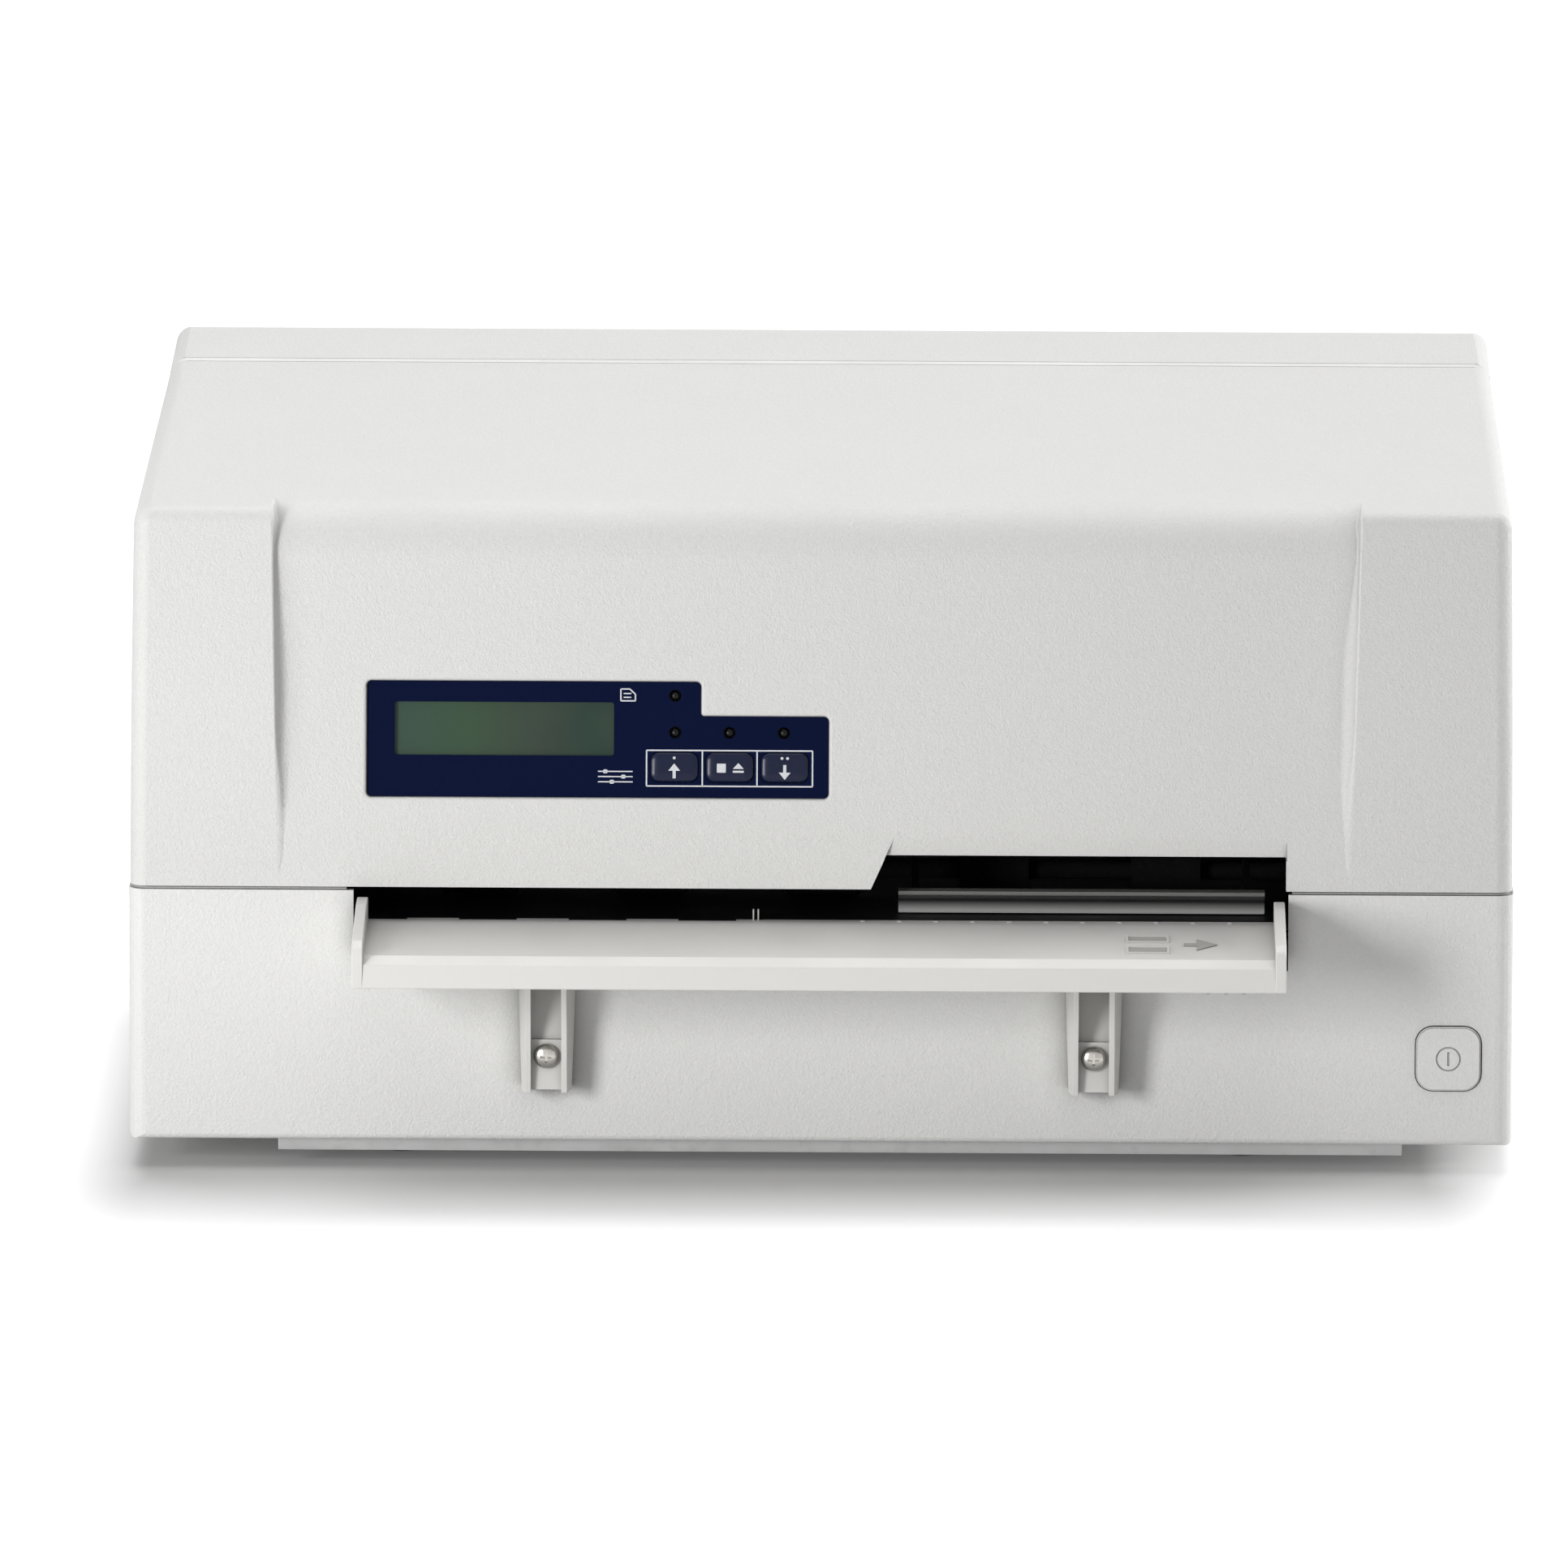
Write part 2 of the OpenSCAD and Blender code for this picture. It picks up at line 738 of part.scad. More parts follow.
module rear_hood() {
    color(case_grey)
    difference() {
        union() {
            difference() {
                hood_block(0);
                hood_block(wall);
            }
            both_sides() {
                hinge_arm();
                // rib that ties the hinge arm to the hood wall
                block([186, 195.5], [hood_y + 3, hood_y + 12], [hinge_z - 12, hinge_z - 8]);
                // tongues that slip inside the lower casing
                block([194.4, 197.35], [hood_y + 10, hood_y + 34], [66, 104]);
                block([160, 180], [casing_screw_y - 8, casing_screw_y - 2.7], [66, 104]);
                block([160, 180], [casing_screw_y - 8, back_y - 2], [92, 104]);
            }
        }
        // air slots high in the back
        for (i = [-9:9])
            block([i * 9 - 2, i * 9 + 2], [back_y - 25, back_y + 5], [150, 176]);
        // holes for the casing screws
        for (x = [-casing_screw_x, casing_screw_x])
            rod_y(casing_screw_y - 9, back_y + 5, x, casing_screw_z, 1.6);
    }
}

module hinge_pins() {
    color(steel)
    both_sides()
        rod_x(186, 194.4, hinge_y, hinge_z, pin_r);
}

module casing_screws() {
    color(steel)
    for (x = [-casing_screw_x, casing_screw_x])
        mirror([0, 1, 0])
            screw_y(x, -casing_screw_y, casing_screw_z, screw_head_r, screw_shank_r, 8);
}

// ---- operator panel ----
module panel_overlay() {
    color(navy)
    on_panel(0, 0, overlay_low)
        linear_extrude(overlay_high - overlay_low)
            difference() {
                polygon(panel_outline(0));
                translate(lcd_at)
                    rounded_rect(lcd_size.x, lcd_size.y, 0.8);
                for (p = led_at)
                    translate(p)
                        circle(r = 1.75);
                for (p = key_at)
                    translate(p)
                        rounded_rect(key_size.x + 0.3, key_size.y + 0.3, 2.6);
            }
}

module lcd_module() {
    color([0.2, 0.2, 0.22])
    on_panel(lcd_at.x, lcd_at.y, -10.4)
        difference() {
            linear_extrude(7.7)
                square([72, 24], center = true);
            translate([0, 0, 6.6])
                linear_extrude(3)
                    square([lcd_size.x + 1.2, lcd_size.y + 1.2], center = true);
        }
}

module lcd_screen() {
    color([0.28, 0.36, 0.29])
    on_panel(lcd_at.x, lcd_at.y, -3.8)
        linear_extrude(1)
            square([lcd_size.x + 1, lcd_size.y + 1], center = true);
}

module status_leds() {
    color([0.05, 0.05, 0.05])
    for (p = led_at)
        on_panel(p.x, p.y, -10.4) {
            cylinder(h = 7.5, r = 1.5);
            translate([0, 0, 7.5])
                sphere(r = 1.5, $fn = 24);
        }
}

module panel_board() {
    color(board_green)
    difference() {
        on_panel(0, 0, -12)
            linear_extrude(1.6)
                translate([-131, 4])
                    square([133, 40.6]);
        for (p = board_posts)
            on_panel(p.x, p.y, -13)
                cylinder(h = 3, r = 1.3);
    }
    // one press switch under each key
    color(dark)
    for (p = key_at)
        on_panel(p.x, p.y, -10.4)
            linear_extrude(2)
                square([6, 6], center = true);
}

module key(p) {
    color(navy)
    on_panel(p.x, p.y, 0) {
        translate([0, 0, -2.2])
            linear_extrude(1.2)
                rounded_rect(key_size.x, key_size.y, 2.4);
        translate([0, 0, -1.0 - overlap])
            linear_extrude(0.25 + overlap)
                rounded_rect(key_size.x - 1.6, key_size.y - 1.6, 1.8);
        translate([0, 0, -7.9])
            cylinder(h = 5.7 + overlap, r = 1.7);
    }
}

module key_up() {
    key(key_at[0]);
}

module key_stop() {
    key(key_at[1]);
}

module key_down() {
    key(key_at[2]);
}

// ---- power button ----
button_face_y = front_y - 0.9;

module power_button() {
    color(case_grey)
    difference() {
        union() {
            along_y(button_face_y + 0.5, front_y + 8)
                translate([button_x, button_z])
                    rounded_rect(button_w, button_w, 5);
            along_y(button_face_y, button_face_y + 0.5)
                translate([button_x, button_z])
                    rounded_rect(button_w - 0.9, button_w - 0.9, 4.6);
            rod_y(front_y + 8, front_y + 17, button_x, button_z, 3);
        }
        // ring and bar cut in the face
        along_y(button_face_y - 1, button_face_y + 0.35)
            translate([button_x, button_z]) {
                difference() {
                    circle(r = 3.6);
                    circle(r = 3.15);
                }
                square([0.6, 4], center = true);
            }
    }
}

module power_switch() {
    color(dark)
    difference() {
        block([button_x - 9, button_x + 9], [front_y + 16, front_y + 42], [casing_z + wall, button_z + 9]);
        rod_y(front_y + 15, front_y + 22, button_x, button_z, 3.3);
    }
}

// ---- chassis ----
module frame_outline() {
    polygon([
        [-88, pan_z], [-88, 110], [-34, 110], [-14, 128], [80, 128], [80, 102],
        [104, 86], [104, pan_z]]);
}

module side_frame(x0, holes) {
    color(steel)
    difference() {
        along_x(x0, x0 + frame_t)
            difference() {
                frame_outline();
                translate([70, 34])
                    rounded_rect(36, 22, 4);
                translate([-62, 26])
                    rounded_rect(26, 14, 4);
            }
        for (y = [feed_front_y, feed_rear_y]) {
            rod_x(x0 - 1, x0 + frame_t + 1, y, feed_z, 6);
            rod_x(x0 - 1, x0 + frame_t + 1, y, press_z, press_shaft_r + 0.05);
        }
        rod_x(x0 - 1, x0 + frame_t + 1, shaft_y, shaft_z, shaft_r);
        for (y = frame_screw_ys)
            rod_x(x0 - 1, x0 + frame_t + 1, y, frame_screw_z, screw_shank_r);
        if (holes)
            rod_x(x0 - 1, x0 + frame_t + 1, pinion_y, pinion_z, 11.2);
    }
}

module side_frame_left() {
    side_frame(-frame_x - frame_t, true);
}

module side_frame_right() {
    side_frame(frame_x, false);
}

module chassis_pan() {
    color(steel)
    difference() {
        union() {
            block([-frame_x, frame_x], [-95, 150], [pan_z, pan_z + 1.2]);
            // flanges that the side frames are screwed to
            both_sides()
                block([frame_x - 1.2, frame_x], [-86, -70], [pan_z, 40]);
            both_sides()
                block([frame_x - 1.2, frame_x], [88, 102], [pan_z, 40]);
        }
        both_sides()
            for (y = frame_screw_ys)
                rod_x(frame_x - 5, frame_x + 5, y, frame_screw_z, screw_shank_r);
    }
}

module frame_screws() {
    color(steel)
    both_sides()
        for (y = frame_screw_ys) {
            rod_x(frame_x + frame_t, frame_x + frame_t + 2, y, frame_screw_z, 3);
            rod_x(frame_x - 3, frame_x + frame_t, y, frame_screw_z, screw_shank_r);
        }
}

module paper_bed() {
    color(dark)
    difference() {
        union() {
            block([-bed_x, bed_x], [front_y + 2.8, 100], [paper_z - 1.8, paper_z - 0.3]);
            block([-bed_x + 30, bed_x - 30], [99, back_y - 3], [paper_z - 1.8, paper_z - 0.3]);
            // lead-in towards the tray and stiffening flanges
            block([-slot_x + 1, slot_x - 1], [front_y + 2.8, front_y + 4.3], [paper_z - 8, paper_z - 0.3]);
            block([-slot_x + 1, slot_x - 1], [back_y - 5, back_y - 3.5], [paper_z - 8, paper_z - 0.3]);
        }
        for (x = roller_xs, y = [feed_front_y, feed_rear_y])
            block([x - roller_l / 2 - 1, x + roller_l / 2 + 1], [y - 6, y + 6], [paper_z - 3, paper_z + 1]);
        block([-152, 152], [print_y - 9, print_y + 9], [paper_z - 3, paper_z + 1]);
    }
}

module upper_paper_guide() {
    color([0.35, 0.35, 0.35]) {
        along_x(22.3, 128.3)
            polygon(concat(
                [[guide_y - 0.3, guide_top], [guide_y - 0.3, guide_top - 1.1], [guide_y + 2.1, guide_top - 1.1],
                    [guide_y + 2.1, guide_z + guide_r + 0.4], [guide_y, guide_z + guide_r + 0.3]],
                arc([guide_y, guide_z], guide_r, 90, 0, 12),
                [[guide_y + guide_r + 0.9, guide_z], [guide_y + guide_r + 0.9, guide_z + 2.5],
                    [guide_y + guide_r + 0.2, guide_top]]));
        for (x = [26, 122])
            along_x(x, x + 2)
                polygon([[guide_y + guide_r + 0.2, 75], [feed_front_y - 10, 75], [rail_y, 84],
                    [rail_y, 96], [rail_y - 2, 96], [rail_y - 6, 88], [guide_y + guide_r, 80]]);
    }
}

module platen() {
    color([0.25, 0.25, 0.26])
    union() {
        block([-frame_x, frame_x], [print_y - 8, print_y + 8], [paper_z - 12.6, paper_z - 1.8]);
        block([-151.5, 151.5], [print_y - 8, print_y + 8], [paper_z - 2, paper_z - 0.5]);
    }
}

module guide_shaft() {
    color(steel)
    difference() {
        rod_x(-frame_x - 4, frame_x + 4, shaft_y, shaft_z, shaft_r);
        both_sides()
            rod_x(frame_x + 2.6, frame_x + 5, shaft_y, shaft_z, 1.6);
    }
}

module front_rail() {
    color(steel)
    difference() {
        union() {
            block([-frame_x, frame_x], [rail_y, rail_y + 14], [rail_z, rail_z + 1.5]);
            block([-frame_x, frame_x], [rail_y, rail_y + 1.5], [rail_z - 15, rail_z]);
        }
        for (x = [-120:40:120])
            block([x - 10, x + 10], [rail_y - 1, rail_y + 2], [rail_z - 10, rail_z - 5]);
    }
}

// ---- feed rollers ----
module roller_shaft(y, x0) {
    color(steel)
    rod_x(x0, frame_x + 5, y, feed_z, roller_shaft_r);
}

module front_roller_shaft() {
    roller_shaft(feed_front_y, -186);
    color(dark)
        feed_pulley(feed_front_y);
}

module rear_roller_shaft() {
    roller_shaft(feed_rear_y, -186);
    color(dark)
        feed_pulley(feed_rear_y);
}

module feed_pulley(y) {
    rod_x(feed_pulley_x - 4.4, feed_pulley_x + 4.4, y, feed_z, feed_pulley_r);
    for (x = [feed_pulley_x - 4.4, feed_pulley_x + 3.4])
        rod_x(x, x + 1, y, feed_z, feed_pulley_r + 2);
}

module feed_rollers(y) {
    color(rubber_black)
    for (x = roller_xs)
        difference() {
            rod_x(x - roller_l / 2, x + roller_l / 2, y, feed_z, feed_r);
            rod_x(x - roller_l, x + roller_l, y, feed_z, roller_shaft_r);
        }
}

module front_feed_rollers() {
    feed_rollers(feed_front_y);
}

module rear_feed_rollers() {
    feed_rollers(feed_rear_y);
}

module pressure_roller(y) {
    color([0.8, 0.8, 0.78]) {
        rod_x(-frame_x - 1.5, frame_x + 1.5, y, press_z, press_shaft_r);
        for (x = roller_xs)
            rod_x(x - roller_l / 2, x + roller_l / 2, y, press_z, press_r);
    }
}

module front_pressure_roller() {
    pressure_roller(feed_front_y);
}

module rear_pressure_roller() {
    pressure_roller(feed_rear_y);
}

module roller_bushes() {
    color([0.75, 0.6, 0.3])
    both_sides()
        for (y = [feed_front_y, feed_rear_y])
            difference() {
                union() {
                    rod_x(frame_x - 2, frame_x, y, feed_z, 8);
                    rod_x(frame_x, frame_x + frame_t, y, feed_z, 6);
                }
                rod_x(frame_x - 3, frame_x + frame_t + 1, y, feed_z, roller_shaft_r + 0.05);
            }
}

// one tooth flank of an involute gear: radius to half angle
function involute_angle(r, base) = let (t = sqrt(max(pow(r / base, 2) - 1, 0))) t * 180 / PI - atan(t);

function gear_outline(teeth, m, backlash) =
    let (
        pitch = teeth * m / 2,
        base = pitch * cos(20),
        root = pitch - 1.25 * m,
        tip = pitch + m,
        half = 90 / teeth - backlash / pitch * 90 / PI + involute_angle(pitch, base),
        low = max(base, root),
        steps = 5
    )
    [for (k = [0:teeth - 1])
        let (c = 360 * k / teeth)
        each concat(
            [root * [cos(c - half - 0.3), sin(c - half - 0.3)]],
            [for (i = [0:steps])
                let (r = low + (tip - low) * i / steps, a = c - half + involute_angle(r, base))
                r * [cos(a), sin(a)]],
            [for (i = [steps:-1:0])
                let (r = low + (tip - low) * i / steps, a = c + half - involute_angle(r, base))
                r * [cos(a), sin(a)]],
            [root * [cos(c + half + 0.3), sin(c + half + 0.3)]])];

module roller_gear() {
    color([0.9, 0.9, 0.86])
    difference() {
        along_x(gear_x - 3, gear_x + 3)
            translate([feed_front_y, feed_z])
                rotate(pinion_angle + 180 / gear_teeth)
                    difference() {
                        polygon(gear_outline(gear_teeth, gear_module, 0.3));
                        for (a = [0:60:300])
                            rotate(a)
                                translate([18, 0])
                                    circle(r = 5);
                    }
        rod_x(gear_x - 5, gear_x + 5, feed_front_y, feed_z, roller_shaft_r);
    }
}

module feed_pinion() {
    color([0.75, 0.6, 0.3])
    along_x(gear_x - 4, gear_x + 3)
        translate([pinion_y, pinion_z])
            rotate(pinion_angle + 180)
                polygon(gear_outline(pinion_teeth, gear_module, 0.3));
    color(steel)
    rod_x(gear_x - 5, -frame_x + 8, pinion_y, pinion_z, 2.5);
}

module motor_x(x0, x1, y, z) {
    difference() {
        union() {
            along_x(x0, x1)
                translate([y, z])
                    rounded_rect(motor_w, motor_w, 5);
            rod_x(x0 - 1.9, x0, y, z, 11);
        }
        rod_x(x0 - 3, x0 + 12, y, z, 2.6);
    }
}

module feed_motor() {
    color([0.3, 0.3, 0.32])
    motor_x(-frame_x, -frame_x + 36, pinion_y, pinion_z);
}

// a belt round two equal wheels
module belt_loop(a, b, r, t) {
    difference() {
        belt_hull(a, b, r + t);
        belt_hull(a, b, r);
    }
}

module belt_hull(a, b, r) {
    translate(a)
        circle(r = r, $fn = 64);
    translate(b)
        circle(r = r, $fn = 64);
    translate([a.x, a.y - r])
        square([b.x - a.x, 2 * r]);
}

module feed_belt() {
    color(rubber_black)
    along_x(feed_pulley_x - 3, feed_pulley_x + 3)
        belt_loop([feed_front_y, feed_z], [feed_rear_y, feed_z], feed_pulley_r + 0.3, belt_t);
}

// ---- carriage drive ----
module carriage_belt() {
    color(rubber_black)
    along_y(belt_y - 3, belt_y + 3)
        belt_loop([-pulley_x, belt_z], [pulley_x, belt_z], pulley_r + 0.3, belt_t);
}

module belt_pulley(x) {
    difference() {
        union() {
            rod_y(belt_y - 4, belt_y + 4, x, belt_z, pulley_r);
            for (y = [belt_y - 4, belt_y + 3.2])
                rod_y(y, y + 0.8, x, belt_z, pulley_r + 1.8);
        }
        rod_y(belt_y - 6, belt_y + 6, x, belt_z, 2.5);
    }
}

module drive_pulley() {
    color([0.75, 0.6, 0.3])
        belt_pulley(-pulley_x);
    color(steel)
        rod_y(belt_y - 4.6, belt_y + 18, -pulley_x, belt_z, 2.5);
}

module idler_pulley() {
    color([0.75, 0.6, 0.3])
        difference() {
            belt_pulley(pulley_x);
            rod_y(belt_y - 6, belt_y + 6, pulley_x, belt_z, 2.55);
        }
}

module idler_bracket() {
    color(steel) {
        difference() {
            block([122, frame_x], [belt_y + 7, belt_y + 9], [84, 126]);
            rod_y(belt_y + 6, belt_y + 10, pulley_x, belt_z, 2.5);
        }
        block([frame_x - 2, frame_x], [belt_y + 9, belt_y + 24], [84, 126]);
        rod_y(belt_y - 5, belt_y + 9, pulley_x, belt_z, 2.5);
    }
}

module motor_bracket() {
    color(steel)
    difference() {
        union() {
            block([-frame_x, -112], [belt_y + 6, belt_y + 8], [82, 127]);
            block([-frame_x, -frame_x + 2], [belt_y - 14, belt_y + 6], [86, 127]);
        }
        rod_y(belt_y + 5, belt_y + 9, -pulley_x, belt_z, 11.2);
    }
}

module carriage_motor() {
    color([0.3, 0.3, 0.32])
    difference() {
        union() {
            along_y(belt_y + 8, belt_y + 42)
                translate([-pulley_x, belt_z])
                    rounded_rect(motor_w, motor_w, 5);
            rod_y(belt_y + 6.2, belt_y + 8, -pulley_x, belt_z, 11);
        }
        rod_y(belt_y + 5, belt_y + 20, -pulley_x, belt_z, 2.6);
    }
}

module carriage() {
    x0 = park_x;
    color([0.2, 0.2, 0.22])
    difference() {
        union() {
            rod_x(x0 - 25, x0 + 25, shaft_y, shaft_z, 10);
            // deck round the print head
            block([x0 - 26, x0 + 26], [print_y - 26, shaft_y - 4], [88, 92]);
            // arm and jaw on the front rail
            block([x0 - 14, x0 + 14], [rail_y + 17, print_y - 25], [88, 92]);
            block([x0 - 14, x0 + 14], [rail_y + 15, rail_y + 19], [88, rail_z + 5]);
            block([x0 - 14, x0 + 14], [rail_y + 3, rail_y + 16], [rail_z - 3.2, rail_z - 0.2]);
            block([x0 - 14, x0 + 14], [rail_y + 3, rail_y + 16], [rail_z + 1.7, rail_z + 5]);
            // arm and clamp on the belt
            block([x0 - 8, x0 + 8], [shaft_y + 6, belt_y + 4], [89, 93]);
            block([x0 - 8, x0 + 8], [belt_y - 6, belt_y + 4], [89, 100]);
        }
        rod_x(x0 - 30, x0 + 30, shaft_y, shaft_z, shaft_r + 0.05);
        block([x0 - 12, x0 + 12], [print_y - 14, print_y + 14], [85, 95]);
        block([x0 - 10, x0 + 10], [belt_y - 3.3, belt_y + 6],
            [belt_z - pulley_r - belt_t - 0.6, belt_z - pulley_r]);
    }
}

module print_head() {
    x0 = park_x;
    color([0.45, 0.45, 0.47]) {
        translate([x0, print_y, 0]) {
            hull() {
                block([-4, 4], [-6.5, 6.5], [76, 77]);
                block([-10, 10], [-12, 12], [90, 92]);
            }
            translate([0, 0, 92])
                cylinder(h = 14, r = 22);
            for (i = [-4:4])
                block([-20 + abs(i) * 1.5, 20 - abs(i) * 1.5], [i * 4.4 - 0.8, i * 4.4 + 0.8], [105, 121]);
        }
    }
}

// ---- ribbon cassette ----
cassette_z = 128;
knob_x = -128;
knob_y = 37;

module ribbon_cassette() {
    color([0.16, 0.16, 0.17])
    difference() {
        union() {
            translate([0, 37, cassette_z])
                linear_extrude(17)
                    rounded_rect(336, 78, 6);
            // raised lid and grip
            translate([0, 37, cassette_z + 17])
                linear_extrude(1.2)
                    rounded_rect(300, 62, 5);
            block([-22, 22], [30, 44], [cassette_z + 17, cassette_z + 24]);
            // arms that hold the ribbon across the print line
            both_sides()
                along_x(151.5, 160)
                    polygon([
                        [print_y - 10, 74.6], [print_y + 8, 74.6], [6, 96], [6, cassette_z + 6],
                        [-2, cassette_z + 14], [-2, cassette_z], [-6, 104], [print_y - 10, 84]]);
        }
        translate([knob_x, knob_y, cassette_z + 8])
            cylinder(h = 20, r = 3.05);
        // room for the folded ribbon
        translate([0, 37, cassette_z + 1.6])
            linear_extrude(13.8)
                rounded_rect(332.8, 74.8, 4.4);
        // finger gaps in the grip
        block([-18, 18], [29, 34], [cassette_z + 19, cassette_z + 26]);
        block([-18, 18], [40, 45], [cassette_z + 19, cassette_z + 26]);
    }
}

module ink_ribbon() {
    color([0.04, 0.04, 0.05])
    block([-151.5, 151.5], [print_y - 6.5, print_y + 6.5], [74.9, 75.2]);
}

module ribbon_knob() {
    color([0.85, 0.85, 0.82])
    translate([knob_x, knob_y, cassette_z + 18.6])
        difference() {
            union() {
                cylinder(h = 5, r = 11);
                cylinder(h = 7, r = 9);
                translate([0, 0, -9.6])
                    cylinder(h = 10, r = 3);
            }
            for (a = [0:30:330])
                rotate([0, 0, a])
                    translate([12.2, 0, -1])
                        cylinder(h = 9, r = 2, $fn = 24);
        }
}

// ---- electronics and rear connectors ----
board_z = 20;
supply_top = 51;

module main_board() {
    color(board_green)
        block([-155, 62], [6, 160], [board_z, board_z + 1.6]);
    color(steel)
        for (x = [-150, 56], y = [12, 138])
            translate([x, y, pan_z + 1.2])
                cylinder(h = board_z - pan_z - 1.2, r = 3);
    // larger parts on the board
    color(dark) {
        block([-100, -70], [40, 70], [board_z + 1.6, board_z + 5]);
        block([-50, -24], [48, 62], [board_z + 1.6, board_z + 6]);
        block([-50, -24], [72, 86], [board_z + 1.6, board_z + 6]);
        block([10, 24], [96, 130], [board_z + 1.6, board_z + 16]);
        for (i = [0:2])
            translate([34 + (i % 2) * 2, 30 + i * 20, board_z + 1.6])
                cylinder(h = 18, r = 6);
    }
}

module supply_case() {
    color([0.7, 0.7, 0.72])
    difference() {
        block([74, 160], [10, 128], [pan_z + 1.2, supply_top]);
        block([75, 159], [11, 127], [pan_z + 2.2, supply_top + 1]);
        for (i = [0:8])
            block([73, 76], [22 + i * 10, 27 + i * 10], [20, 44]);
    }
    // perforated lid
    color([0.7, 0.7, 0.72])
    difference() {
        block([74, 160], [10, 128], [supply_top - 1, supply_top]);
        for (i = [0:7], j = [0:3])
            translate([92 + j * 16, 26 + i * 12, supply_top - 2])
                cylinder(h = 3, r = 3);
    }
}

module transformer() {
    color([0.35, 0.3, 0.25]) {
        difference() {
            block([88, 146], [24, 72], [pan_z + 2.2, 48]);
            block([98, 110], [23, 73], [21, 41]);
            block([124, 136], [23, 73], [21, 41]);
        }
        difference() {
            block([98, 136], [18, 78], [21.5, 40.5]);
            block([110, 124], [17, 79], [20, 42]);
        }
    }
}

module parallel_port() {
    color([0.72, 0.73, 0.75]) {
        block([-108, -52], [146.5, 161], [board_z + 1.6, 38]);
        difference() {
            translate([-80, 0, 0])
                along_y(161, back_y - 0.6)
                    translate([0, 32])
                        polygon([[-25, 5.5], [25, 5.5], [22, -5.5], [-22, -5.5]]);
            translate([-80, 0, 0])
                along_y(162, back_y + 1)
                    translate([0, 32])
                        polygon([[-23.6, 4.5], [23.6, 4.5], [21.2, -4.5], [-21.2, -4.5]]);
        }
        // wire bails stood on both sides
        for (x = [-107, -54.5])
            block([x, x + 1.5], [161, back_y - 1], [26, 38]);
    }
    color(dark)
        block([-100, -60], [162, back_y - 1.2], [31, 33]);
}

module serial_port() {
    color([0.72, 0.73, 0.75]) {
        block([-30, 6], [146.5, 161], [board_z + 1.6, 37]);
        difference() {
            translate([-12, 0, 0])
                along_y(161, back_y - 0.6)
                    translate([0, 31])
                        polygon([[-9, 5], [9, 5], [7.5, -5], [-7.5, -5]]);
            translate([-12, 0, 0])
                along_y(162, back_y + 1)
                    translate([0, 31])
                        polygon([[-8, 4], [8, 4], [6.6, -4], [-6.6, -4]]);
        }
        for (x = [-27, 3])
            rod_y(161, back_y - 0.8, x, 31, 2.4);
    }
}

module power_inlet() {
    color(dark) {
        difference() {
            block([118.2, 145.8], [142, back_y - 0.2], [23.6, 44.4]);
            along_y(150, back_y + 1)
                translate([132, 34])
                    polygon([[-12, -8], [12, -8], [12, 4.5], [8, 8], [-8, 8], [-12, 4.5]]);
        }
        for (x = [-7, 0, 7])
            block([132 + x - 1, 132 + x + 1], [149, back_y - 5], [x == 0 ? 35 : 31, x == 0 ? 39 : 35]);
    }
}

lower_casing();
base_plate();
feet();
base_screws();
paper_tray();
tray_bracket_left();
tray_bracket_right();
tray_screws();
cover();
rear_hood();
hinge_pins();
casing_screws();
panel_overlay();
lcd_module();
lcd_screen();
status_leds();
panel_board();
key_up();
key_stop();
key_down();
power_button();
power_switch();
chassis_pan();
side_frame_left();
side_frame_right();
frame_screws();
paper_bed();
upper_paper_guide();
platen();
guide_shaft();
front_rail();
front_roller_shaft();
front_feed_rollers();
roller_gear();
rear_roller_shaft();
rear_feed_rollers();
roller_bushes();
feed_belt();
front_pressure_roller();
rear_pressure_roller();
feed_motor();
feed_pinion();
carriage();
print_head();
carriage_belt();
carriage_motor();
motor_bracket();
drive_pulley();
idler_bracket();
idler_pulley();
ribbon_cassette();
ink_ribbon();
ribbon_knob();
main_board();
supply_case();
transformer();
parallel_port();
serial_port();
power_inlet();
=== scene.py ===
import json
from math import acos, atan2, ceil, cos, pi, radians, sin, sqrt, tan
import bmesh
import bpy
from mathutils import Matrix, Vector


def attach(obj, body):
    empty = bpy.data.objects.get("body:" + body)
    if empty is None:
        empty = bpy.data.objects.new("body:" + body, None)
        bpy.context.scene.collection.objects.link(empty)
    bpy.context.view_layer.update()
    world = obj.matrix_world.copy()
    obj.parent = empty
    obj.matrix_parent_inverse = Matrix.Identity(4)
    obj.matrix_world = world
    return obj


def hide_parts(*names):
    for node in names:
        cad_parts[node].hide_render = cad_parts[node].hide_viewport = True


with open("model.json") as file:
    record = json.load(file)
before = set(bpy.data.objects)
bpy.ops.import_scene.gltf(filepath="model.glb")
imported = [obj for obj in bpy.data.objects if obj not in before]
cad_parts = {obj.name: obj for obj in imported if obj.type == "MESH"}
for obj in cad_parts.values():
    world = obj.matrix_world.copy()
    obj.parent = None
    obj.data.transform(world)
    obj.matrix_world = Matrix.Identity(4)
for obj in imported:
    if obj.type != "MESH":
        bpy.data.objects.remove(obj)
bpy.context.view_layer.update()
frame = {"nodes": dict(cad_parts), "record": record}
mm = 0.001
print("frame loaded:", len(frame["nodes"]), "nodes")


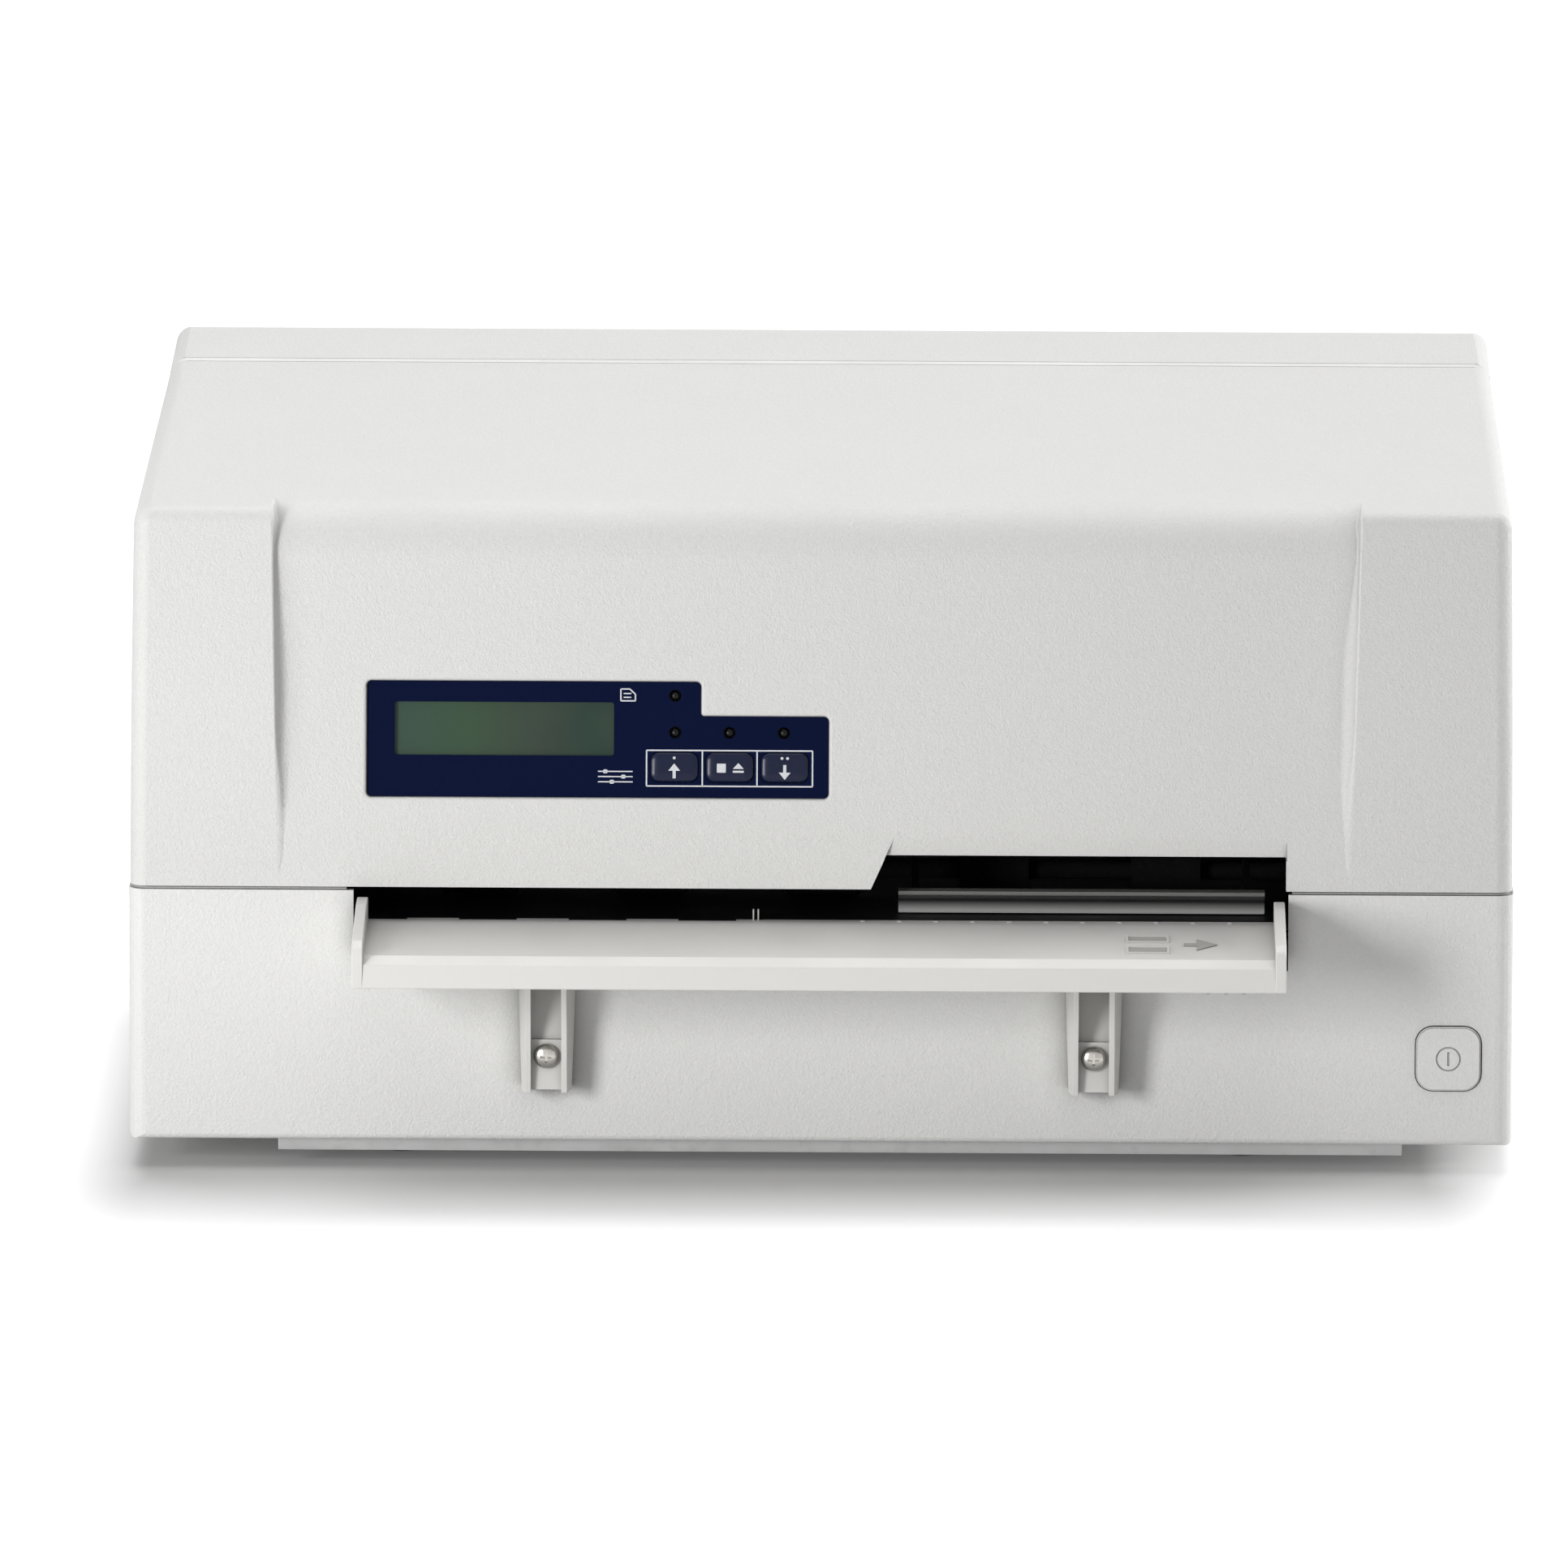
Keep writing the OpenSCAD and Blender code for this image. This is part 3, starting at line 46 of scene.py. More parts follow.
# shape helpers; outlines and places are in millimetres, and lengths inside materials in metres
def roundCorners(path, steps=6, closed=True):
    # each corner is (a, b, radius), and a radius of 0 leaves it sharp
    points = []
    last = len(path) - 1
    for i, (a, b, radius) in enumerate(path):
        here = Vector((a, b))
        if radius <= 0 or (not closed and i in (0, last)):
            points.append(here)
            continue
        toward = (Vector(path[i - 1][:2]) - here).normalized()
        away = (Vector(path[(i + 1) % len(path)][:2]) - here).normalized()
        half = acos(max(-1, min(1, toward.dot(away)))) / 2
        center = here + (toward + away).normalized() * (radius / sin(half))
        start = here + toward * (radius / tan(half)) - center
        stop = here + away * (radius / tan(half)) - center
        turn = atan2(start.x * stop.y - start.y * stop.x, start.dot(stop))
        for k in range(steps + 1):
            points.append(center + Matrix.Rotation(turn * k / steps, 2) @ start)
    return points


def roundedBox(width, height, radius, at=(0, 0), steps=5):
    x, y = width / 2, height / 2
    corners = [(at[0] + a * x, at[1] + b * y, radius) for a, b in ((-1, -1), (1, -1), (1, 1), (-1, 1))]
    return roundCorners(corners, steps)


def circlePoints(radius, at=(0, 0), steps=32):
    turns = [2 * pi * k / steps for k in range(steps)]
    return [Vector((at[0] + radius * cos(t), at[1] + radius * sin(t))) for t in turns]


def inXy(z):
    return lambda p: Vector((p[0], p[1], z)) * mm


def inXz(y):
    return lambda p: Vector((p[0], y, p[1])) * mm


def inYz(x):
    return lambda p: Vector((x, p[0], p[1])) * mm


panelTilt = radians(8)
panelOrigin = Vector((0, -114.2, 103))
panelUp = Vector((0, sin(panelTilt), cos(panelTilt)))
panelOut = Vector((0, -cos(panelTilt), sin(panelTilt)))


def onPanel(out):
    # the plane of the operator panel, this far in front of the leaning face
    return lambda p: (panelOrigin + Vector((p[0], 0, 0)) + panelUp * p[1] + panelOut * out) * mm


def loft(rings):
    # rings are (points, placing) pairs with equal counts; the ends are closed
    bm = bmesh.new()
    loops = []
    for points, place in rings:
        verts = [bm.verts.new(place(p)) for p in points]
        edges = [bm.edges.new((verts[k - 1], verts[k])) for k in range(len(verts))]
        loops.append((verts, edges))
    for low, high in zip(loops, loops[1:]):
        bmesh.ops.bridge_loops(bm, edges=low[1] + high[1])
    for verts, edges in (loops[0], loops[-1]):
        bmesh.ops.contextual_create(bm, geom=edges)
    bmesh.ops.recalc_face_normals(bm, faces=bm.faces)
    return bm


def prism(points, low, high):
    return loft([(points, low), (points, high)])


def box(xs, ys, zs):
    corners = [(xs[k], ys[j]) for k, j in ((0, 0), (1, 0), (1, 1), (0, 1))]
    return prism(corners, inXy(zs[0]), inXy(zs[1]))


def joined(parts):
    whole = bmesh.new()
    for part in parts:
        scrap = bpy.data.meshes.new("scrap")
        part.to_mesh(scrap)
        part.free()
        whole.from_mesh(scrap)
        bpy.data.meshes.remove(scrap)
    return whole


def placeObject(name, data):
    thing = bpy.data.objects.new(name, data)
    bpy.context.scene.collection.objects.link(thing)
    return thing


def meshObject(name, bm):
    mesh = bpy.data.meshes.new(name)
    bm.to_mesh(mesh)
    bm.free()
    return placeObject(name, mesh)


def bake(piece):
    # leaves what the modifiers make in the piece's own mesh
    graph = bpy.context.evaluated_depsgraph_get()
    mesh = bpy.data.meshes.new_from_object(piece.evaluated_get(graph))
    piece.modifiers.clear()
    piece.data = mesh


def cut(piece, cutter, operation="DIFFERENCE"):
    tool = meshObject("tool", cutter)
    change = piece.modifiers.new("cut", "BOOLEAN")
    change.solver = "EXACT"
    change.operation = operation
    change.object = tool
    bake(piece)
    bpy.data.objects.remove(tool)


def shade(piece, angle=32):
    piece.data.shade_smooth()
    piece.data.set_sharp_from_angle(angle=radians(angle))
    even = piece.modifiers.new("even shading", "WEIGHTED_NORMAL")
    even.keep_sharp = True
    even.weight = 60
    bake(piece)


def softenEdges(piece, width, segments=2, angle=35, smooth=32):
    soft = piece.modifiers.new("soft edges", "BEVEL")
    soft.width = width * mm
    soft.segments = segments
    soft.limit_method = "ANGLE"
    soft.angle_limit = radians(angle)
    soft.use_clamp_overlap = True
    soft.miter_outer = "MITER_ARC"
    bake(piece)
    shade(piece, smooth)


def paint(piece, material):
    piece.data.materials.clear()
    piece.data.materials.append(material)


def settle(piece, body, slotName, *replaced, material=None):
    paint(piece, material or materials[slotName])
    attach(piece, body)
    if replaced:
        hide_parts(*replaced)


# surface effects that the materials share
def setInputs(node, values):
    # numbers and colours are set, and outputs of other nodes are linked
    for label, value in values.items():
        if isinstance(value, bpy.types.NodeSocket):
            node.id_data.links.new(value, node.inputs[label])
        else:
            node.inputs[label].default_value = value


def addNode(tree, kind, values, **settings):
    node = tree.nodes.new("ShaderNode" + kind)
    for label, value in settings.items():
        setattr(node, label, value)
    setInputs(node, values)
    return node.outputs


def objectPlace(tree):
    return addNode(tree, "TexCoord", {})["Object"]


def splitPlace(tree):
    return addNode(tree, "SeparateXYZ", {0: objectPlace(tree)})


def addNoise(tree, scale, detail, vector):
    return addNode(tree, "TexNoise", {"Scale": scale, "Detail": detail, "Vector": vector})["Fac"]


def addWave(tree, direction, scale, distortion=0):
    values = {"Scale": scale, "Distortion": distortion, "Vector": objectPlace(tree)}
    return addNode(tree, "TexWave", values, bands_direction=direction)["Fac"]


def addMath(tree, operation, first, second):
    return addNode(tree, "Math", {0: first, 1: second}, operation=operation)[0]


def addRange(tree, value, low, high, newLow=0, newHigh=1):
    values = {"Value": value, "From Min": low, "From Max": high, "To Min": newLow, "To Max": newHigh}
    return addNode(tree, "MapRange", values)["Result"]


def mixColors(tree, factor, first, second):
    first, second = (color + (1,) if isinstance(color, tuple) else color for color in (first, second))
    return addNode(tree, "Mix", {"Factor": factor, "A": first, "B": second}, data_type="RGBA")["Result"]


def makeGroup(name, inputs, outputs):
    group = bpy.data.node_groups.new(name, "ShaderNodeTree")
    for label, value in inputs:
        socket = group.interface.new_socket(label, in_out="INPUT", socket_type="NodeSocketFloat")
        socket.default_value = value
    for label in outputs:
        group.interface.new_socket(label, in_out="OUTPUT", socket_type="NodeSocketFloat")
    return group, group.nodes.new("NodeGroupInput").outputs, group.nodes.new("NodeGroupOutput")


def buildMouldGrain():
    # spark-eroded mould texture: fine pits, with slow patches of tone over them
    group, enter, leave = makeGroup("mouldGrain", [("Grain", 1000), ("Patches", 9)],
                                    ["Height", "Specks", "Tone"])
    place = objectPlace(group)
    fine = addNoise(group, enter["Grain"], 2.5, place)
    coarse = addNoise(group, addMath(group, "MULTIPLY", enter["Grain"], 0.42), 1, place)
    height = addMath(group, "ADD", addMath(group, "MULTIPLY", fine, 0.65),
                     addMath(group, "MULTIPLY", coarse, 0.35))
    setInputs(leave, {"Height": height, "Specks": addRange(group, height, 0.35, 0.65),
                      "Tone": addNoise(group, enter["Patches"], 3, place)})
    return group


def buildBrushing():
    # fine lines along one axis, as drawn or rolled metal shows
    group, enter, leave = makeGroup("brushing", [("Lines", 900), ("Stretch", 0.03)], ["Height", "Tone"])
    place = objectPlace(group)
    spread = addNode(group, "CombineXYZ", {"X": enter["Stretch"], "Y": 1, "Z": 1})[0]
    scaled = addNode(group, "VectorMath", {0: place, 1: spread}, operation="MULTIPLY")[0]
    lines = addNoise(group, enter["Lines"], 3, scaled)
    patches = addNoise(group, addMath(group, "MULTIPLY", enter["Lines"], 0.03), 2, place)
    tone = addMath(group, "MULTIPLY", addMath(group, "ADD", lines, patches), 0.5)
    setInputs(leave, {"Height": lines, "Tone": tone})
    return group


def buildHandling():
    # faint smears and dust from use
    group, enter, leave = makeGroup("handling", [("Smears", 30), ("Dust", 260)], ["Smear", "Dust"])
    place = objectPlace(group)
    smear = addNoise(group, enter["Smears"], 4, place)
    dust = addNoise(group, enter["Dust"], 6, place)
    setInputs(leave, {"Smear": addRange(group, smear, 0.45, 0.7), "Dust": addRange(group, dust, 0.56, 0.72)})
    return group


mouldGrain = buildMouldGrain()
brushing = buildBrushing()
handling = buildHandling()
paintedShadeReach = 9


def startMaterial(name):
    material = bpy.data.materials.new(name)
    material.use_nodes = True
    tree = material.node_tree
    return material, tree, tree.nodes["Principled BSDF"]


def placeGroup(tree, group, **values):
    return addNode(tree, "Group", values, node_tree=group)


def scaledColor(color, amount):
    return tuple(c * amount for c in color)


def addBump(tree, shader, height, distance):
    bump = addNode(tree, "Bump", {"Strength": 1, "Distance": distance * mm, "Height": height})
    setInputs(shader, {"Normal": bump["Normal"]})


def paintShadeInCrevices(tree, base, least):
    # painted shade: ambient occlusion darkens the base colour in inner corners, recesses and along the joints,
    # where shade falls
    clear = addNode(tree, "AmbientOcclusion", {"Distance": paintedShadeReach * mm}, samples=6)["AO"]
    return mixColors(tree, addRange(tree, clear, 0.35, 0.92, least, 1), (0, 0, 0), base)


def plastic(name, look):
    material, tree, shader = startMaterial(name)
    grain = placeGroup(tree, mouldGrain, Grain=look["grain"])
    use = placeGroup(tree, handling)
    color, spread = look["color"], look["spread"]
    base = mixColors(tree, grain["Tone"], scaledColor(color, 1 - spread), scaledColor(color, 1 + spread))
    speck = addMath(tree, "MULTIPLY", grain["Specks"], look.get("speck", 0.05))
    base = mixColors(tree, speck, base, (1, 1, 1))
    if "dust" in look:
        dust = addMath(tree, "MULTIPLY", use["Dust"], look["dust"])
        base = mixColors(tree, dust, base, (0.6, 0.57, 0.52))
    # painted shade: the colour is darkened in crevices through ambient occlusion
    if "paintedShade" in look:
        base = paintShadeInCrevices(tree, base, look["paintedShade"])
    rough, change = look["rough"], look.get("roughSpread", 0.05)
    setInputs(shader, {"Base Color": base, "Specular IOR Level": look.get("specular", 0.5),
                       "Roughness": addRange(tree, use["Smear"], 0, 1, rough + change, rough - change)})
    addBump(tree, shader, grain["Height"], look["depth"])
    return material


def metal(name, look):
    material, tree, shader = startMaterial(name)
    lines = placeGroup(tree, brushing, Lines=look["lines"], Stretch=look.get("stretch", 0.04))
    use = placeGroup(tree, handling)
    color, rough = look["color"], look["rough"]
    base = mixColors(tree, lines["Tone"], scaledColor(color, 0.86), scaledColor(color, 1.1))
    stain = addMath(tree, "MULTIPLY", use["Dust"], look.get("stain", 0.2))
    setInputs(shader, {"Base Color": mixColors(tree, stain, base, scaledColor(color, 0.55)),
                       "Metallic": look.get("metallic", 1),
                       "Roughness": addRange(tree, lines["Tone"], 0.3, 0.7, rough - 0.08, rough + 0.08)})
    addBump(tree, shader, lines["Height"], look.get("depth", 0.01))
    return material


caseLook = {"color": (0.735, 0.732, 0.715), "rough": 0.5, "grain": 1900, "depth": 0.32, "paintedShade": 0.3,
            "spread": 0.014, "speck": 0.15, "roughSpread": 0.03}
# tray plastic: paler than the case plastic, raised as painted light on the tray
trayLook = {"color": (0.785, 0.778, 0.755), "rough": 0.42, "grain": 900, "depth": 0.02, "paintedShade": 0.5,
            "spread": 0.015, "speck": 0.03, "roughSpread": 0.05}
signFaceLook = dict(trayLook, color=(0.46, 0.455, 0.44))
blackLook = {"color": (0.003, 0.003, 0.0033), "rough": 0.5, "grain": 800, "depth": 0.04,
             "spread": 0.15, "speck": 0.001, "dust": 0.006, "specular": 0.1}
greyLook = {"color": (0.42, 0.42, 0.415), "rough": 0.36, "grain": 500, "depth": 0.012,
            "spread": 0.06, "speck": 0.02}
whiteLook = {"color": (0.76, 0.75, 0.7), "rough": 0.4, "grain": 500, "depth": 0.015,
             "spread": 0.03, "dust": 0.06}
rubberLook = {"color": (0.009, 0.009, 0.009), "rough": 0.85, "grain": 1300, "depth": 0.05,
              "spread": 0.2, "speck": 0.003, "dust": 0.01, "specular": 0.12}
filmLook = {"color": (0.0028, 0.0068, 0.034), "rough": 0.34, "grain": 1800, "depth": 0.006,
            "spread": 0.08, "speck": 0.001, "specular": 0.03}
keyLook = {"color": (0.0028, 0.0068, 0.034), "rough": 0.22, "grain": 1800, "depth": 0.004,
           "spread": 0.08, "speck": 0.002, "specular": 0.25}
shadeBlackSteelLook = {"color": (0.006, 0.006, 0.006), "rough": 0.6, "grain": 500, "depth": 0.01,
                  "spread": 0.1, "speck": 0.001, "specular": 0.1}
steelLook = {"color": (0.6, 0.6, 0.6), "rough": 0.26, "lines": 700}
sheetLook = {"color": (0.52, 0.525, 0.52), "rough": 0.42, "lines": 160, "stretch": 0.7, "metallic": 0.85}
screwLook = {"color": (0.52, 0.5, 0.47), "rough": 0.24, "lines": 1500, "stretch": 1, "stain": 0.35}
brassLook = {"color": (0.72, 0.53, 0.24), "rough": 0.28, "lines": 900}
bronzeLook = {"color": (0.46, 0.31, 0.15), "rough": 0.45, "lines": 600, "stretch": 1}
motorLook = {"color": (0.2, 0.2, 0.21), "rough": 0.4, "lines": 300, "stretch": 0.6, "metallic": 0.9}
castLook = {"color": (0.4, 0.4, 0.41), "rough": 0.5, "lines": 800, "stretch": 1, "depth": 0.04}
connectorLook = {"color": (0.62, 0.62, 0.6), "rough": 0.3, "lines": 500, "stretch": 0.5}
copperLook = {"color": (0.4, 0.22, 0.12), "rough": 0.42, "lines": 1400, "stretch": 0.02}


def circuitBoard():
    # solder mask over tracks that run in both directions
    material, tree, shader = startMaterial("circuitBoard")
    tracks = [addRange(tree, addWave(tree, direction, 160, 0.4), 0.62, 0.72) for direction in "XY"]
    cells = addNode(tree, "TexVoronoi", {"Scale": 55, "Vector": objectPlace(tree)})["Distance"]
    mask = addMath(tree, "MULTIPLY", addMath(tree, "MAXIMUM", *tracks), addRange(tree, cells, 0.3, 0.34))
    base = mixColors(tree, mask, (0.012, 0.075, 0.03), (0.03, 0.16, 0.06))
    setInputs(shader, {"Base Color": base, "Roughness": 0.3})
    addBump(tree, shader, mask, 0.03)
    return material


displayLook = {"across": (-0.1235, -0.0597),
               "colourAndReflectionTones": ((0, (0.044, 0.084, 0.064)), (0.35, (0.046, 0.088, 0.050)),
                         (0.66, (0.041, 0.060, 0.045)), (0.9, (0.021, 0.052, 0.038)),
                         (1, (0.024, 0.050, 0.040))),
               "reflectionBloom": (0.050, 0.075, 0.050)}


def displayGlass(look):
    # reflective display that is off: green-grey of its own, with tones across it and a faint coloured bloom
    # painted as reflection, and the rows of cells
    material, tree, shader = startMaterial("displayGlass")
    slow = addNoise(tree, 34, 1.5, objectPlace(tree))
    ramp = tree.nodes.new("ShaderNodeValToRGB")
    stops = ramp.color_ramp.elements
    while len(stops) < len(look["colourAndReflectionTones"]):
        stops.new(0.5)
    for stop, (where, tone) in zip(stops, look["colourAndReflectionTones"]):
        stop.position = where
        stop.color = tone + (1,)
    setInputs(ramp, {"Fac": addRange(tree, splitPlace(tree)["X"], *look["across"])})
    reflectionBloom = addRange(tree, slow, 0.45, 0.66, 0, 0.6)
    setInputs(shader, {"Base Color": mixColors(tree, reflectionBloom, ramp.outputs["Color"], look["reflectionBloom"]),
                       "Roughness": addRange(tree, addWave(tree, "X", 90), 0, 1, 0.16, 0.2),
                       "Specular IOR Level": 0.15, "Coat Weight": 0.12, "Coat Roughness": 0.08})
    return material


def darkLens():
    material, tree, shader = startMaterial("darkLens")
    grain = placeGroup(tree, mouldGrain, Grain=600, Patches=60)
    base = mixColors(tree, grain["Tone"], (0.002, 0.002, 0.002), (0.005, 0.004, 0.004))
    setInputs(shader, {"Base Color": base, "Roughness": 0.04, "Specular IOR Level": 0.2})
    return material


def inkedCloth():
    material, tree, shader = startMaterial("inkedCloth")
    weave = addMath(tree, "MULTIPLY", addWave(tree, "X", 900), addWave(tree, "Y", 900))
    base = mixColors(tree, weave, (0.004, 0.004, 0.006), (0.02, 0.02, 0.026))
    setInputs(shader, {"Base Color": base, "Roughness": 0.7})
    addBump(tree, shader, weave, 0.05)
    return material


def whitePrint():
    material, tree, shader = startMaterial("whitePrint")
    grain = placeGroup(tree, mouldGrain, Grain=2600, Patches=120)
    base = mixColors(tree, grain["Specks"], (0.66, 0.68, 0.72), (0.78, 0.79, 0.8))
    setInputs(shader, {"Base Color": base, "Roughness": 0.4})
    return material


materials = {
    "case_plastic": plastic("casePlastic", caseLook),
    "tray_plastic": plastic("trayPlastic", trayLook),
    "black_plastic": plastic("blackPlastic", blackLook),
    "grey_plastic": plastic("greyPlastic", greyLook),
    "white_plastic": plastic("whitePlastic", whiteLook),
    "rubber": plastic("rollerRubber", rubberLook),
    "navy_film": plastic("navyFilm", filmLook),
    "navy_key": plastic("navyKey", keyLook),
    "steel": metal("brightSteel", steelLook),
    "sheet_steel": metal("sheetSteel", sheetLook),
    "screw_steel": metal("screwSteel", screwLook),
    "brass": metal("turnedBrass", brassLook),
    "bronze": metal("sinteredBronze", bronzeLook),
    "motor_steel": metal("motorSteel", motorLook),
    "cast_alloy": metal("castAlloy", castLook),
    "connector_metal": metal("connectorMetal", connectorLook),
    "copper_iron": metal("copperIron", copperLook),
    "circuit_board": circuitBoard(),
    "lcd_glass": displayGlass(displayLook),
    "dark_lens": darkLens(),
    "inked_cloth": inkedCloth(),
}
printWhite = whitePrint()
# painted shade: a black copy of steel for the front rail inside the slot
shadeBlackSteel = plastic("blackenedSteelPaintedShade", shadeBlackSteelLook)
slotOf = {part["node"]: part["material_slot"] for part in frame["record"]["subparts"]}
for nodeName, node in frame["nodes"].items():
    paint(node, materials[slotOf[nodeName]])
print("materials:", len(bpy.data.materials))

# cover: pillars at both ends, and a middle that is scooped out between them
coverLook = {
    "frontY": -115, "bottomZ": 82.8, "straightZ": 157, "bendRadius": 202, "pillarRoll": 5,
    "topFrontZ": 191.3, "topSlope": 4.04, "endY": 108,
    "lean": 12, "panelFootZ": 84.5, "panelRoll": 18, "panelFootRadius": 60,
    "sideX": 199.7, "sideLowZ": 76.8, "sideFall": (0.0065, 0.019), "fallY": (-115, 95.7), "sideRadius": 5,
    "leftEdge": (-157.14, -159.3), "rightEdge": (153.05, 155.88), "edgeZ": (84.5, 188.5),
    "convex": (6, 0.7), "concave": (1.2, 4.2), "steep": 78, "changeZ": (86, 128), "topConcave": 0.8,
    "topChangeZ": (146, 182),
    "wall": 2.5, "hinge": (95.7, 200.355), "barrel": 5, "backY": 100.5,
}


def coverProfiles(look):
    # side views of the pillars and of the middle, from the bottom edge over the top
    lean = radians(look["lean"])
    slope = tan(radians(look["topSlope"]))
    bendY = look["frontY"] + look["bendRadius"] * (1 - cos(lean))
    cornerZ = look["straightZ"] - (bendY - look["frontY"]) / tan(lean)
    topY = bendY + (look["topFrontZ"] - look["straightZ"]) * tan(lean)
    panelTopY = panelOrigin.y + (look["topFrontZ"] - panelOrigin.z) * tan(panelTilt)

    def topAt(y):
        return look["topFrontZ"] + (y - topY) * slope

    end = (look["endY"], topAt(look["endY"]), 0)
    pillar = roundCorners([
        (look["frontY"], look["bottomZ"], 0), (look["frontY"], cornerZ, look["bendRadius"]),
        (topY, look["topFrontZ"], look["pillarRoll"]), end], 40, closed=False)
    panel = roundCorners([
        (look["frontY"], look["bottomZ"], 0), (look["frontY"], look["panelFootZ"], 0),
        (panelOrigin.y, panelOrigin.z, look["panelFootRadius"]),
        (panelTopY, topAt(panelTopY), look["panelRoll"]), end], 36, closed=False)
    return pillar, panel


def pathNormals(path):
    normals = []
    for k in range(len(path)):
        along = (path[min(k + 1, len(path) - 1)] - path[max(k - 1, 0)]).normalized()
        normals.append(Vector((-along.y, along.x)))
    return normals


def meetPath(origin, direction, path, normals):
    # where the line from origin along direction meets the path, and the normal there
    best = None
    for k in range(len(path) - 1):
        along = path[k + 1] - path[k]
        across = direction.x * along.y - direction.y * along.x
        if abs(across) < 1e-9:
            continue
        gap = path[k] - origin
        reach = (gap.x * along.y - gap.y * along.x) / across
        part = (gap.x * direction.y - gap.y * direction.x) / across
        if -0.001 <= part <= 1.001 and (best is None or abs(reach) < abs(best[0])):
            best = (reach, path[k] + along * part, normals[k].lerp(normals[k + 1], part).normalized())
    return best


def stepCurve(height, convex, concave, steep, steps=5):
    # (distance, drop) pairs from the pillar's face down to the middle's face
    turn = min(steep, acos(max(-1, 1 - height / (convex + concave)))) if height > 0 else 0
    plain = max(0, height - (convex + concave) * (1 - cos(turn)))
    points = []
    for k in range(steps + 1):
        a = turn * k / steps
        points.append((convex * sin(a), convex * (1 - cos(a))))
    foot = convex * sin(turn) + (plain / tan(turn) if turn else 0) + concave * sin(turn)
    for k in range(steps + 1):
        a = turn * (1 - k / steps)
        points.append((foot - concave * sin(a), height - concave * (1 - cos(a))))
    return points


def blend(span, z, zSpan, ease=False):
    t = max(0, min(1, (z - zSpan[0]) / (zSpan[1] - zSpan[0])))
    return span[0] + (span[1] - span[0]) * (t * t * (3 - 2 * t) if ease else t)


def coverStations(panel):
    # adds stations along the straight stretches, so that the pillars can bend there
    stations = [panel[0]]
    for point in panel[1:]:
        gap = (point - stations[-1]).length
        count = max(1, ceil(gap / (7 if point.y < 180 else 40)))
        start = stations[-1]
        stations.extend(start.lerp(point, k / count) for k in range(1, count + 1))
    return stations


def sideAt(look, y, z):
    # half width of the cover; the sides lean in more towards the back
    return look["sideX"] - (z - look["sideLowZ"]) * blend(look["sideFall"], y, look["fallY"])


def coverSection(look, foot, normal, pillar, pillarNormals):
    # one row of the skin, from the left side over the front to the right side
    reach, crest, outward = meetPath(foot, normal, pillar, pillarNormals)
    height = max(0, reach)
    side = sideAt(look, crest.x, crest.y)
    radius = look["sideRadius"]
    rounding = []
    for k in range(7):
        a = radians(15 * k)
        rounding.append((side - radius * (1 - cos(a)), radius * (1 - sin(a))))
    convex = blend(look["convex"], foot.y, look["changeZ"], True)
    concave = blend(look["concave"], foot.y, look["changeZ"], True)
    concave = blend((concave, look["topConcave"]), foot.y, look["topChangeZ"], True)
    curve = stepCurve(height, convex, concave, radians(look["steep"]))
    left = blend(look["leftEdge"], crest.y, look["edgeZ"])
    right = blend(look["rightEdge"], crest.y, look["edgeZ"])
    row = [(-x, crest - outward * depth) for x, depth in rounding]
    row += [(left + x, crest - normal * drop) for x, drop in curve]
    row += [(right - x, crest - normal * drop) for x, drop in reversed(curve)]
    row += [(x, crest - outward * depth) for x, depth in reversed(rounding)]
    return [Vector((x, p.x, p.y)) * mm for x, p in row]


def crossSide(bm, face, sign, look):
    # cuts one side into a grid and lays it on the leaning surface
    faces = [face]
    cuts = [(Vector((0, y, 0)) * mm, Vector((0, 1, 0))) for y in range(-90, 100, 30)]
    cuts += [(Vector((0, 0, z)) * mm, Vector((0, 0, 1))) for z in range(100, 190, 18)]
    for place, normal in cuts:
        corners = list({v for f in faces for v in f.verts})
        edges = list({e for f in faces for e in f.edges})
        result = bmesh.ops.bisect_plane(bm, geom=corners + edges + faces, dist=0.0001 * mm, plane_co=place,
                                        plane_no=normal)
        faces = [f for f in set(result["geom"]) if isinstance(f, bmesh.types.BMFace)]
    for vert in {v for f in faces for v in f.verts}:
        vert.co.x = sign * sideAt(look, vert.co.y / mm, vert.co.z / mm) * mm


def buildCoverSkin(look):
    pillar, panel = coverProfiles(look)
    stations = coverStations(panel)
    pillarNormals = pathNormals(pillar)
    normals = pathNormals(stations)
    rows = [coverSection(look, foot, normal, pillar, pillarNormals) for foot, normal in zip(stations, normals)]
    columns = len(rows[0])
    bm = bmesh.new()
    bmesh.ops.create_grid(bm, x_segments=columns - 1, y_segments=len(rows) - 1, size=0.5)
    for vert in list(bm.verts):
        column = round((vert.co.x + 0.5) * (columns - 1))
        row = round((vert.co.y + 0.5) * (len(rows) - 1))
        vert.co = rows[row][column]
    # flat sides, down to the bottom edge
    bm.verts.ensure_lookup_table()
    for sign in (-1, 1):
        y, z = look["endY"], look["bottomZ"]
        corner = Vector((sign * sideAt(look, y, z), y, z)) * mm
        chain = []
        for row in rows:
            place = row[0 if sign < 0 else -1]
            near = min(bm.verts, key=lambda v: (v.co - place).length_squared)
            if not chain or near is not chain[-1]:
                chain.append(near)
        foot = bm.verts.new(corner)
        crossSide(bm, bm.faces.new(chain + [foot]), sign, look)
    bmesh.ops.remove_doubles(bm, verts=bm.verts, dist=0.02 * mm)
    bmesh.ops.recalc_face_normals(bm, faces=bm.faces)
    # the highest face has to look upwards
    if max(bm.faces, key=lambda f: f.calc_center_median().z).normal.z <= 0:
        bmesh.ops.reverse_faces(bm, faces=bm.faces)
    return bm


